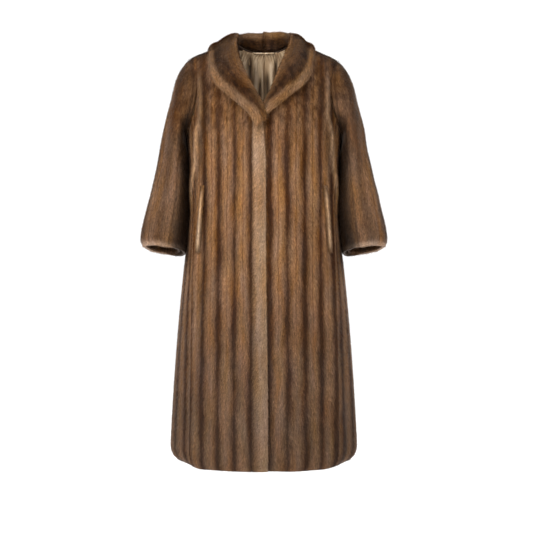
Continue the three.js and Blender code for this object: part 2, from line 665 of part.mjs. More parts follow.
function onLining(z, share) {
  const reach = mix(LINING.neckReach, LINING.reach, ease(-z / 160));
  const x = mix(-reach, reach, share);
  const wave = GATHERS.reduce(
    (sum, { count, start, deep }) => sum + deep * Math.cos(share * count * 2 * Math.PI + start),
    0,
  );
  const slack = mix(4, 17, ease(-z / 120)) + 5;
  const y = onBody(x, z, 1).y - WALL - slack + wave * mix(1.2, 5.5, ease(-z / 90));
  return new THREE.Vector3(x, y, z);
}

function liningWall() {
  const columns = 48;
  const heights = [LINING.top, -16, -36, -70, -115, -170, -235, -310];
  const grid = (by) =>
    heights.map((z) =>
      Array.from({ length: columns + 1 }, (_, j) => {
        const p = onLining(z, j / columns);
        p.y += by;
        return p;
      }),
    );
  return wall(grid(0), grid(-LINING.thick));
}

// A short satin strip, caught at both ends at the top of the lining, to hang the coat by
function loopWall() {
  const [long, tall, thick, bow] = [62, 6, 1.4, 4];
  const shares = Array.from({ length: 13 }, (_, i) => i / 12);
  const grid = (by) =>
    [0, 0.5, 1].map((up) =>
      shares.map((share) => {
        const belly = bow * Math.sin(share * Math.PI);
        const x = (share - 0.5) * long;
        const lining = onLining(LINING.top, (x / LINING.neckReach + 1) / 2);
        const y = lining.y - LINING.thick - 1 - belly - by;
        return new THREE.Vector3(x, y, -8 + tall * up - belly * 0.5);
      }),
    );
  return wall(grid(0), grid(thick));
}

const coat = new THREE.Group();
coat.add(mesh("back", bodyWall(backGrid()), FUR));
coat.add(mesh("front_band", bandWall(), RIM_FUR));
coat.add(mesh("lining_back", liningWall(), SATIN));
coat.add(mesh("hanging_loop", loopWall(), SATIN));
for (const [name, side] of [["left", 1], ["right", -1]]) {
  coat.add(mesh("front_" + name, bodyWall(frontGrid(side)), FUR));
  coat.add(mesh("side_" + name, bodyWall(sideGrid(side)), FUR));
  coat.add(mesh("sleeve_" + name, sleeveWall(side), FUR));
  coat.add(mesh("cuff_facing_" + name, cuffWall(side), FUR));
  coat.add(mesh("collar_" + name, collarWall(side), FUR));
  coat.add(mesh("pocket_welt_" + name, weltWall(side), RIM_FUR));
}

export default coat;
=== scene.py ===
"""A full-length fur coat of striped pelt strips, dressed over its solids and shown in soft studio light."""
import math

import bmesh
import bpy
import numpy as np
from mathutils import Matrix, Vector, noise


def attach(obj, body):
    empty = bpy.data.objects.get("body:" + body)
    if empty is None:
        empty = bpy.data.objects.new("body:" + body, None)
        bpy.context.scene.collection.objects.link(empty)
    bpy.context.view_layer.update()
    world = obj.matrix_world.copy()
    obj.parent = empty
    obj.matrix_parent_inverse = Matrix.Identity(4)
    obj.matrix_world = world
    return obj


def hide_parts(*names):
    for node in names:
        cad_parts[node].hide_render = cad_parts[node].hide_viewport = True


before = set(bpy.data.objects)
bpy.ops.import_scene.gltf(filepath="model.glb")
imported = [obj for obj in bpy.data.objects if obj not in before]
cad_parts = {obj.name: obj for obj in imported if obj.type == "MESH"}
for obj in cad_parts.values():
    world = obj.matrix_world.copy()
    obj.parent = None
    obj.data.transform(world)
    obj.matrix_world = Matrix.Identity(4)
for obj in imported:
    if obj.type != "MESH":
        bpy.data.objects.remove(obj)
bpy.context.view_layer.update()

HEM_Z = -1.2
HEM_TURN = 0.05  # how far up the hem is rounded, and its fur turned in
ROUNDNESS = 2.2  # exponent of the body's level sections

# Level sections of the body: height, half width, depth in front, depth behind, middle
BODY = [
    (0.060, 0.006, 0.004, 0.004, 0.010),
    (0.040, 0.026, 0.009, 0.009, 0.010),
    (0.024, 0.070, 0.024, 0.024, 0.010),
    (0.020, 0.084, 0.033, 0.031, 0.010),
    (0.008, 0.120, 0.051, 0.049, 0.010),
    (-0.002, 0.150, 0.065, 0.061, 0.010),
    (-0.012, 0.174, 0.077, 0.069, 0.010),
    (-0.020, 0.195, 0.086, 0.075, 0.009),
    (-0.030, 0.215, 0.095, 0.082, 0.008),
    (-0.060, 0.223, 0.112, 0.096, 0.006),
    (-0.100, 0.226, 0.127, 0.108, 0.004),
    (-0.150, 0.226, 0.141, 0.117, 0.002),
    (-0.200, 0.226, 0.152, 0.121, 0.000),
    (-0.262, 0.225, 0.158, 0.120, 0.000),
    (-0.350, 0.220, 0.155, 0.114, 0.000),
    (-0.444, 0.216, 0.149, 0.114, 0.000),
    (-0.520, 0.221, 0.155, 0.127, 0.000),
    (-0.600, 0.230, 0.165, 0.143, 0.000),
    (-0.700, 0.241, 0.173, 0.157, 0.000),
    (-0.900, 0.258, 0.187, 0.177, 0.000),
    (-1.100, 0.270, 0.200, 0.191, 0.000),
    (-1.200, 0.274, 0.206, 0.196, 0.000),
]

# The front neckline: height and distance from the centre line
NECKLINE = [
    (0.020, 0.084),
    (0.000, 0.081),
    (-0.030, 0.075),
    (-0.060, 0.068),
    (-0.100, 0.054),
    (-0.150, 0.033),
    (-0.190, 0.013),
    (-0.215, -0.004),
    (-0.250, -0.045),
]

# Sleeve rings: share of the way down, outer point's x and z, inner point's x and z, the
# middle's y, half the depth, and how far the ring tips forward in degrees
SLEEVE = [
    (0.00, 0.218, -0.032, 0.2260, -0.263, 0.003, 0.080, 0),
    (0.05, 0.239, -0.054, 0.2270, -0.265, 0.003, 0.086, 0),
    (0.12, 0.256, -0.088, 0.2265, -0.270, 0.005, 0.090, 0),
    (0.20, 0.271, -0.150, 0.2260, -0.282, 0.008, 0.092, -2),
    (0.32, 0.291, -0.228, 0.2240, -0.308, 0.012, 0.092, -4),
    (0.45, 0.305, -0.298, 0.2210, -0.345, 0.017, 0.090, -4),
    (0.58, 0.321, -0.368, 0.2180, -0.395, 0.019, 0.086, 0),
    (0.72, 0.339, -0.438, 0.2190, -0.458, 0.015, 0.081, 6),
    (0.86, 0.353, -0.508, 0.2250, -0.528, 0.004, 0.075, 9),
    (0.97, 0.362, -0.563, 0.2325, -0.584, -0.008, 0.070, 11),
    (1.00, 0.361, -0.582, 0.2340, -0.600, -0.011, 0.069, 11),
]

# The collar's halves: share of the way round, drop of its seam, top of the roll, free edge
COLLAR_BACK = [
    (0.00, 0.000, 0.000, 0.072, 0.046, 0.000, 0.106, -0.038),
    (0.10, 0.000, 0.036, 0.067, 0.045, 0.056, 0.100, -0.038),
    (0.20, 0.000, 0.062, 0.050, 0.045, 0.104, 0.082, -0.034),
    (0.32, 0.000, 0.080, 0.012, 0.041, 0.147, 0.014, -0.005),
]
COLLAR_LEFT = [
    (0.42, 0.013, 0.079, -0.028, 0.031, 0.148, -0.060, -0.038),
    (0.52, 0.043, 0.072, -0.068, -0.003, 0.141, -0.102, -0.084),
    (0.63, 0.086, 0.056, -0.108, -0.052, 0.111, -0.136, -0.131),
    (0.75, 0.129, 0.039, -0.132, -0.097, 0.073, -0.152, -0.165),
    (0.87, 0.171, 0.022, -0.146, -0.143, 0.037, -0.161, -0.196),
    (1.00, 0.204, 0.009, -0.154, -0.184, 0.012, -0.164, -0.219),
]
COLLAR_RIGHT = [
    (0.42, 0.013, 0.079, -0.028, 0.031, 0.157, -0.062, -0.040),
    (0.52, 0.043, 0.073, -0.068, -0.003, 0.158, -0.098, -0.078),
    (0.63, 0.086, 0.059, -0.108, -0.052, 0.131, -0.140, -0.134),
    (0.75, 0.129, 0.038, -0.136, -0.104, 0.088, -0.158, -0.177),
    (0.87, 0.176, 0.016, -0.156, -0.158, 0.055, -0.170, -0.206),
    (0.95, 0.212, 0.007, -0.167, -0.196, 0.038, -0.176, -0.228),
    (1.00, 0.241, 0.002, -0.172, -0.224, 0.029, -0.177, -0.250),
]
SHOULDER_AT = 0.32


def column(rows, index):
    """One column of a table as a smooth function of its first column, with no overshoot."""
    table = np.array(sorted(rows), float)
    x = table[:, 0]
    y = table[:, index]
    rise = np.diff(y) / np.diff(x)
    slope = np.zeros(len(x))
    slope[0] = rise[0]
    slope[-1] = rise[-1]
    for i in range(1, len(x) - 1):
        if rise[i - 1] * rise[i] > 0:
            slope[i] = 2 * rise[i - 1] * rise[i] / (rise[i - 1] + rise[i])

    def value(at):
        at = np.clip(at, x[0], x[-1])
        i = np.clip(np.searchsorted(x, at) - 1, 0, len(x) - 2)
        step = x[i + 1] - x[i]
        t = (at - x[i]) / step
        start = (1 + 2 * t) * (1 - t) ** 2 * y[i] + t * (1 - t) ** 2 * step * slope[i]
        end = t * t * (3 - 2 * t) * y[i + 1] + t * t * (t - 1) * step * slope[i + 1]
        return start + end

    return value


half_width, front_depth, back_depth, middle = [column(BODY, i) for i in (1, 2, 3, 4)]
neck_x = column(NECKLINE, 1)


def ease(t):
    """A soft step from 0 to 1."""
    t = np.clip(t, 0, 1)
    return t * t * (3 - 2 * t)


def mix(a, b, t):
    return a + (b - a) * t


def unit(v):
    return v / np.maximum(np.linalg.norm(v, axis=-1, keepdims=True), 1e-9)


def depth_at(z, behind):
    return np.where(behind, back_depth(z), front_depth(z))


def spread(p):
    """How far out a point lies, as a share of the body's section at its height."""
    away = p[:, 1] - middle(p[:, 2])
    deep = depth_at(p[:, 2], away > 0)
    return (np.abs(p[:, 0]) / half_width(p[:, 2])) ** ROUNDNESS + (np.abs(away) / deep) ** ROUNDNESS


def body_out(p):
    """The way out of the body at each point."""
    small = 0.0005
    ways = [spread(p + small * np.eye(3)[i]) - spread(p - small * np.eye(3)[i]) for i in range(3)]
    return unit(np.stack(ways, axis=1))


LEVELS = np.linspace(-1.2, 0.06, 127)
TURNS = np.linspace(0, math.pi / 2, 81)


def running_lengths(depth):
    """Lengths along the sections from the centre line to each turn, level by level."""
    x = half_width(LEVELS)[:, None] * np.sin(TURNS) ** (2 / ROUNDNESS)
    y = depth(LEVELS)[:, None] * np.cos(TURNS) ** (2 / ROUNDNESS)
    steps = np.hypot(np.diff(x, axis=1), np.diff(y, axis=1))
    return np.concatenate([np.zeros((len(LEVELS), 1)), np.cumsum(steps, axis=1)], axis=1)


FRONT_LENGTHS = running_lengths(front_depth)
BACK_LENGTHS = running_lengths(back_depth)


def read_lengths(table, z, turn):
    i = np.clip((z - LEVELS[0]) / (LEVELS[1] - LEVELS[0]), 0, len(LEVELS) - 1.001)
    j = np.clip(turn / TURNS[1], 0, len(TURNS) - 1.001)
    row = i.astype(int)
    col = j.astype(int)
    low = mix(table[row, col], table[row, col + 1], j - col)
    high = mix(table[row + 1, col], table[row + 1, col + 1], j - col)
    return mix(low, high, i - row)


def section_turn(p):
    """The turn from the centre line towards the side, the same at any depth of the wall."""
    away = p[:, 1] - middle(p[:, 2])
    deep = depth_at(p[:, 2], away > 0)
    wide = (np.abs(p[:, 0]) / half_width(p[:, 2])) ** (ROUNDNESS / 2)
    return np.arctan2(wide, (np.abs(away) / deep) ** (ROUNDNESS / 2))


def body_length(p, behind):
    """Running length from the centre line, negative on the right side."""
    turn = section_turn(p)
    length = np.where(
        behind,
        read_lengths(BACK_LENGTHS, p[:, 2], turn),
        read_lengths(FRONT_LENGTHS, p[:, 2], turn),
    )
    return np.sign(p[:, 0]) * length


def outer_edge(z, behind):
    """Running length from the centre line to a panel's armhole, then to its side seam."""
    top = np.maximum(z, -0.2)
    up = np.clip(np.abs(top + 0.146) / 0.116, 0, 1)
    away = (0.072 if behind else 0.080) * np.sqrt(1 - up * up)
    deep = (back_depth if behind else front_depth)(top)
    share = np.clip(away / deep, 0, 1) ** (ROUNDNESS / 2)
    turn = np.pi / 2 - np.arcsin(share)
    at_top = read_lengths(BACK_LENGTHS if behind else FRONT_LENGTHS, top, turn)
    down = np.clip((-0.2 - z) / 1.0, 0, 1)
    return mix(at_top, 0.226 if behind else 0.228, ease(down * 3))


def front_strips(p, side):
    """Which pelt strip of a front each point is on, counted in strips from the first seam."""
    length = side * body_length(p, np.zeros(len(p), bool))
    return (length - 0.0415) / 0.051 if side > 0 else (length - 0.0575) / 0.049


def back_strips(p):
    edge = outer_edge(p[:, 2], True)
    return (body_length(p, np.ones(len(p), bool)) / (2 * edge) + 0.5) * 9


def side_strips(p):
    z = p[:, 2]
    behind = p[:, 1] > middle(z)
    full = np.where(
        behind,
        read_lengths(BACK_LENGTHS, z, np.full(len(p), np.pi / 2)),
        read_lengths(FRONT_LENGTHS, z, np.full(len(p), np.pi / 2)),
    )
    from_side = np.where(behind, 1, -1) * (full - np.abs(body_length(p, behind)))
    quarter = np.full(len(p), np.pi / 2)
    start = outer_edge(z, False) - read_lengths(FRONT_LENGTHS, z, quarter)
    end = read_lengths(BACK_LENGTHS, z, quarter) - outer_edge(z, True)
    return (from_side - start) / (end - start) * 6


sleeve_columns = [column(SLEEVE, i) for i in range(1, 8)]


def sleeve_frame(at, side):
    """Middle, half-width arrow and half-depth arrow of the sleeve's ring at each share."""
    out_x, out_z, in_x, in_z, y, depth, tip = [read(at) for read in sleeve_columns]
    tip = np.radians(tip)
    centre = np.stack([side * (out_x + in_x) / 2, y, (out_z + in_z) / 2], axis=1)
    wide = np.stack([side * (out_x - in_x) / 2, 0 * y, (out_z - in_z) / 2], axis=1)
    deep = np.stack([0 * y, depth * np.cos(tip), -depth * np.sin(tip)], axis=1)
    return centre, wide, deep


def sleeve_place(p, side):
    """Share of the way down the sleeve, and turn from its upper side round the back."""
    low = np.zeros(len(p))
    high = np.ones(len(p))
    for _ in range(24):
        at = (low + high) / 2
        centre, wide, deep = sleeve_frame(at, side)
        ahead = -side * np.cross(wide, deep)
        past = np.sum((p - centre) * ahead, axis=1) > 0
        low = np.where(past, at, low)
        high = np.where(past, high, at)
    at = (low + high) / 2
    centre, wide, deep = sleeve_frame(at, side)
    across = np.sum((p - centre) * wide, axis=1) / np.sum(wide * wide, axis=1)
    along = np.sum((p - centre) * deep, axis=1) / np.sum(deep * deep, axis=1)
    turn = np.arctan2(along, across) % (2 * np.pi)
    return at, turn, p - centre


def collar_lines(side):
    """Seam, roll and free edge of half the collar, as rows of points from the back to the front."""
    rows = COLLAR_BACK + (COLLAR_LEFT if side > 0 else COLLAR_RIGHT)
    at = np.linspace(0, 1, 401)
    down, *places = [column(rows, i)(at) for i in range(1, 8)]
    roll = np.stack(places[:3], axis=1)
    edge = np.stack(places[3:], axis=1)
    share = np.minimum(1, at / SHOULDER_AT)
    z = 0.020 * share**2.2 - np.where(at > SHOULDER_AT, down, 0)
    x = np.where(at > SHOULDER_AT, neck_x(z), 0.084 * share)
    deep = depth_at(z, at <= SHOULDER_AT)
    rounded = (1 - np.clip(np.abs(x) / half_width(z), 0, 1) ** ROUNDNESS) ** (1 / ROUNDNESS)
    y = middle(z) + np.where(at > SHOULDER_AT, -1, 1) * deep * rounded
    seam = np.stack([x, y, z], axis=1)
    mirror = np.array([side, 1, 1])
    return at, seam * mirror, roll * mirror, edge * mirror


def collar_place(p, side):
    """Share round the collar and share across it, from -1 at its seam over 0 at the roll to 1."""
    at, seam, roll, edge = collar_lines(side)
    best = np.full(len(p), 1e9)
    place = np.zeros(len(p))
    across = np.zeros(len(p))
    for start, end, offset in ((roll, edge, 0), (roll, seam, -1)):
        arm = end - start
        for i in range(0, len(at), 2):
            to = p - start[i]
            t = np.clip(to @ arm[i] / (arm[i] @ arm[i]), 0, 1)
            gap = np.linalg.norm(to - t[:, None] * arm[i], axis=1)
            nearer = gap < best
            best = np.where(nearer, gap, best)
            place = np.where(nearer, at[i], place)
            across = np.where(nearer, t if offset == 0 else -t, across)
    i = (place * 400).astype(int)
    before = np.maximum(i - 6, 0)
    after = np.minimum(i + 6, 400)
    fall = across > 0
    line = np.where(fall[:, None], edge[after] - edge[before], roll[after] - roll[before])
    over = np.where(fall[:, None], edge[i] - roll[i], roll[i] - seam[i])
    wide = np.linalg.norm(edge - roll, axis=1)[i]
    tall = np.linalg.norm(roll - seam, axis=1)[i]
    from_edge = np.where(fall, (1 - across) * wide, wide - across * tall)
    return place, across, unit(line), unit(over), from_edge


def points_of(mesh):
    co = np.empty(len(mesh.vertices) * 3, np.float32)
    mesh.vertices.foreach_get("co", co)
    return co.reshape(-1, 3).astype(float)


def normals_of(mesh):
    normals = np.empty(len(mesh.vertices) * 3, np.float32)
    mesh.vertex_normals.foreach_get("vector", normals)
    return normals.reshape(-1, 3).astype(float)


def place_points(mesh, p):
    mesh.vertices.foreach_set("co", p.astype(np.float32).ravel())
    mesh.update()


def add_values(mesh, name, values):
    kind = "FLOAT_VECTOR" if values.ndim == 2 else "FLOAT"
    layer = mesh.attributes.get(name) or mesh.attributes.new(name, kind, "POINT")
    layer.data.foreach_set("vector" if values.ndim == 2 else "value", values.astype(np.float32).ravel())


def add_object(name, mesh):
    made = bpy.data.objects.new(name, mesh)
    bpy.context.scene.collection.objects.link(made)
    return made


def finished_mesh(obj, name):
    """The object's mesh with its modifiers applied."""
    bpy.context.view_layer.update()
    seen = obj.evaluated_get(bpy.context.evaluated_depsgraph_get())
    mesh = bpy.data.meshes.new_from_object(seen, depsgraph=bpy.context.evaluated_depsgraph_get())
    mesh.name = name
    return mesh


def hide_from(node, levels=2):
    """A fine copy of a solid's wall, smooth along its faces and sharp at its rims."""
    bm = bmesh.new()
    bm.from_mesh(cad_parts[node].data)
    bmesh.ops.remove_doubles(bm, verts=bm.verts, dist=2e-5)
    bmesh.ops.join_triangles(
        bm,
        faces=bm.faces,
        angle_face_threshold=math.radians(40),
        angle_shape_threshold=math.radians(60),
    )
    crease = bm.edges.layers.float.new("crease_edge")
    for edge in bm.edges:
        if edge.calc_face_angle(0) > math.radians(48):
            edge[crease] = 0.9
    rough = bpy.data.meshes.new(node + "_rough")
    bm.to_mesh(rough)
    bm.free()
    if "sharp_face" in rough.attributes:
        rough.attributes.remove(rough.attributes["sharp_face"])
    made = add_object(node + "_hide", rough)
    subdivide = made.modifiers.new("smooth", "SUBSURF")
    subdivide.levels = levels
    subdivide.render_levels = levels
    made.data = finished_mesh(made, node + "_hide")
    made.modifiers.clear()
    made.data.materials.clear()
    made.data.shade_smooth()
    return made


def waves(angle, z):
    """Soft upright flutes that deepen towards the hem."""
    sway = (
        np.sin(7 * angle + 0.4 + 1.1 * z)
        + 0.7 * np.sin(12 * angle + 2.3 - 1.6 * z)
        + 0.45 * np.sin(19 * angle + 5.1 + 2.2 * z)
    )
    return 0.0024 * sway * ease((-0.35 - z) / 0.75)


def swirl(p, seed, scale):
    """A smooth random value from -1 to 1 at each point."""
    offset = Vector((seed * 7.13, seed * 3.71, seed * 1.93))
    return np.array([noise.noise(Vector(q) * scale + offset) for q in p])


def laid(p, normals, way, seed, sweep=0.11):
    """The fur's lay: a direction along the surface, swept a little to either side."""
    flat = unit(way - np.sum(way * normals, axis=1, keepdims=True) * normals)
    across = np.cross(normals, flat)
    sway = swirl(p, seed, 26) * sweep + swirl(p, seed + 5, 9) * sweep * 0.8
    return unit(flat + across * sway[:, None])


DOWN = np.array([[0, 0, -1.0]])


def settle(p):
    """The way the coat hangs: its left shoulder a little lower, its hem lifted at the sides."""
    p = p.copy()
    shoulder = ease((p[:, 0] - 0.10) / 0.11) * ease((p[:, 2] + 0.24) / 0.16)
    hem = ease((HEM_Z + 0.06 - p[:, 2]) / 0.06)
    p[:, 2] += (0.009 * ease((np.abs(p[:, 0]) - 0.17) / 0.08) - 0.002) * hem - 0.006 * shoulder
    return p


# The fold beside each armhole: height and distance from the centre line
BUST_LINE = [
    (-0.45, 0.214),
    (-0.38, 0.205),
    (-0.34, 0.197),
    (-0.25, 0.193),
    (-0.21, 0.180),
    (-0.10, 0.182),
]


def bust_fold(p, offset=0.0, wide=0.009):
    """A soft fold beside each armhole, where the front falls from the shoulder."""
    z = p[:, 2]
    along = ease((z + 0.50) / 0.12) * ease((-0.07 - z) / 0.05)
    off = np.abs(p[:, 0]) - np.interp(z, *zip(*BUST_LINE)) - offset
    return np.exp(-((off / wide) ** 2)) * along * (p[:, 1] < 0)


def note_fur(mesh, pelt, lay, grow, **values):
    """Notes on a hide where its strips run, how its fur lies and what colours it, with the light and shade
    painted on it.
    """
    add_values(mesh, "pelt", pelt)
    add_values(mesh, "lay", lay)
    add_values(mesh, "grow", grow)
    # pale is mostly a painted highlight; deep, dusk and a low tip are painted shade; mottle and tone are
    # the pelt's own.
    usual = {"pale": 0, "dusk": 0, "deep": 0, "mottle": 0, "tone": 0.5, "tip": 0.3, "reach": 1}
    for name, value in usual.items():
        add_values(mesh, name, np.ones(len(pelt)) * values.get(name, value))


def dress_body_hide(made, strips, seed, sink=0.003, painted_light_and_shade=None, slant=0.0):
    """Sinks a panel's outer side to leave room for its fur, and notes where its strips run."""
    mesh = made.data
    p = points_of(mesh)
    out = body_out(p)
    facing = np.sum(normals_of(mesh) * out, axis=1)
    angle = np.arctan2(p[:, 0] / half_width(p[:, 2]), -(p[:, 1] - middle(p[:, 2])) / 0.2)
    by = waves(angle, p[:, 2]) - sink * ease(facing)
    by += 0.006 * bust_fold(p, wide=0.007) - 0.004 * bust_fold(p, 0.017, 0.008)
    at_side = 0.004 * ease((np.abs(p[:, 0]) - 0.205) / 0.012)
    by += at_side * ease((p[:, 2] + 0.5) / 0.1) * ease((-0.2 - p[:, 2]) / 0.06)
    low = np.clip((HEM_Z + HEM_TURN - p[:, 2]) / HEM_TURN, 0, 1) ** 2
    by -= (0.002 + 0.014 * ease((np.abs(p[:, 0]) - 0.17) / 0.07)) * low
    at_hem = ease((HEM_Z + 0.02 - p[:, 2]) / 0.014)
    strip = strips(p)
    p = settle(p + out * by[:, None])
    place_points(mesh, p)
    normals = normals_of(mesh)
    facing = np.sum(normals * out, axis=1)
    pelt = np.stack([strip, p[:, 2], np.full(len(p), float(seed))], axis=1)
    # dusk is painted shade towards the hem; mottle is the pelt's own patches, high on the coat.
    values = {"dusk": ease((-0.42 - p[:, 2]) / 0.75), "mottle": 0.9 * ease((p[:, 2] + 0.36) / 0.2)}
    values["reach"] = 1 - 0.6 * at_hem
    # Painted shade near the neck under the collar, on the shoulders (more on the left) and beside the bust
    # fold; pale is a painted highlight along the fold's crest.
    at_neck = ease((0.105 - np.abs(p[:, 0])) / 0.02) * ease((p[:, 2] + 0.035) / 0.02)
    dark_left = 0.3 + 0.2 * (p[:, 0] > 0)
    shoulder = dark_left * ease((np.abs(p[:, 0]) - 0.15) / 0.06) * ease((p[:, 2] + 0.26) / 0.12)
    beside_fold = 0.5 * bust_fold(p, -0.015, 0.008)
    values["deep"] = np.maximum(np.maximum(shoulder, beside_fold), 0.9 * at_neck)
    values["pale"] = bust_fold(p, wide=0.0045) * (0.75 - 0.35 * ease((p[:, 2] + 0.27) / 0.06))
    # The extra values passed in paint light and shade on the panel.
    values.update(painted_light_and_shade(p) if painted_light_and_shade else {})
    way = DOWN + np.array([[slant, 0, 0]])
    grow = ease((facing + 0.15) / 0.4) * (1 - at_neck)
    note_fur(mesh, pelt, laid(p, normals, way, seed), grow, **values)
    paint_inside(mesh, facing)


def paint_inside(mesh, facing):
    """Gives the faces that look into the coat the second material, but not the hem or the neck's edge."""
    inside = facing < -0.3
    p = points_of(mesh)
    for face in mesh.polygons:
        corners = list(face.vertices)
        heights = p[corners, 2]
        within = inside[corners].all() and heights.max() > HEM_Z + HEM_TURN and heights.min() < 0
        face.material_index = 1 if within else 0


def srgb(r, g, b):
    """A colour as a screen shows it, in 255ths, as the light it stands for."""
    values = [c / 255 for c in (r, g, b)]
    return tuple(c / 12.92 if c <= 0.04045 else ((c + 0.055) / 1.055) ** 2.4 for c in values) + (1,)


def new_material(name):
    made = bpy.data.materials.new(name)
    made.use_nodes = True
    nodes = made.node_tree.nodes
    shader = next(n for n in nodes if n.type == "BSDF_PRINCIPLED")
    return made, made.node_tree, shader


class Graph:
    """Short ways to add and join the nodes of a material."""

    def __init__(self, tree):
        self.tree = tree

    def add(self, kind, inputs=None, **settings):
        node = self.tree.nodes.new(kind)
        for key, value in settings.items():
            setattr(node, key, value)
        for key, value in (inputs or {}).items():
            self.put(node.inputs[key], value)
        return node

    def put(self, socket, value):
        if isinstance(value, bpy.types.NodeSocket):
            self.tree.links.new(value, socket)
        else:
            socket.default_value = value

    def math(self, operation, a, b=0.0, c=0.0, clamp=False):
        node = self.add("ShaderNodeMath", {0: a, 1: b, 2: c}, operation=operation, use_clamp=clamp)
        return node.outputs[0]

    def times(self, first, *others):
        for other in others:
            first = self.math("MULTIPLY", first, other)
        return first

    def value(self, name):
        return self.add("ShaderNodeAttribute", attribute_name=name).outputs["Fac"]

    def blend(self, factor, a, b, kind="MIX"):
        node = self.add("ShaderNodeMix", {0: factor, 6: a, 7: b}, data_type="RGBA", blend_type=kind)
        return node.outputs[2]

    def noise(self, vector, scale, detail=2.0, roughness=0.5):
        inputs = {"Vector": vector, "Scale": scale, "Detail": detail, "Roughness": roughness}
        return self.add("ShaderNodeTexNoise", inputs).outputs["Fac"]

    def span(self, value, low, high, to_low=0.0, to_high=1.0):
        inputs = {0: value, 1: low, 2: high, 3: to_low, 4: to_high}
        return self.add("ShaderNodeMapRange", inputs).outputs[0]

    def vector(self, x, y, z=0.0):
        return self.add("ShaderNodeCombineXYZ", {0: x, 1: y, 2: z}).outputs[0]

    def ramp(self, value, stops):
        node = self.add("ShaderNodeValToRGB", {0: value})
        points = node.color_ramp.elements
        while len(points) < len(stops):
            points.new(0.5)
        for point, (place, colour) in zip(points, stops):
            point.position = place
            point.color = colour
        return node.outputs[0]


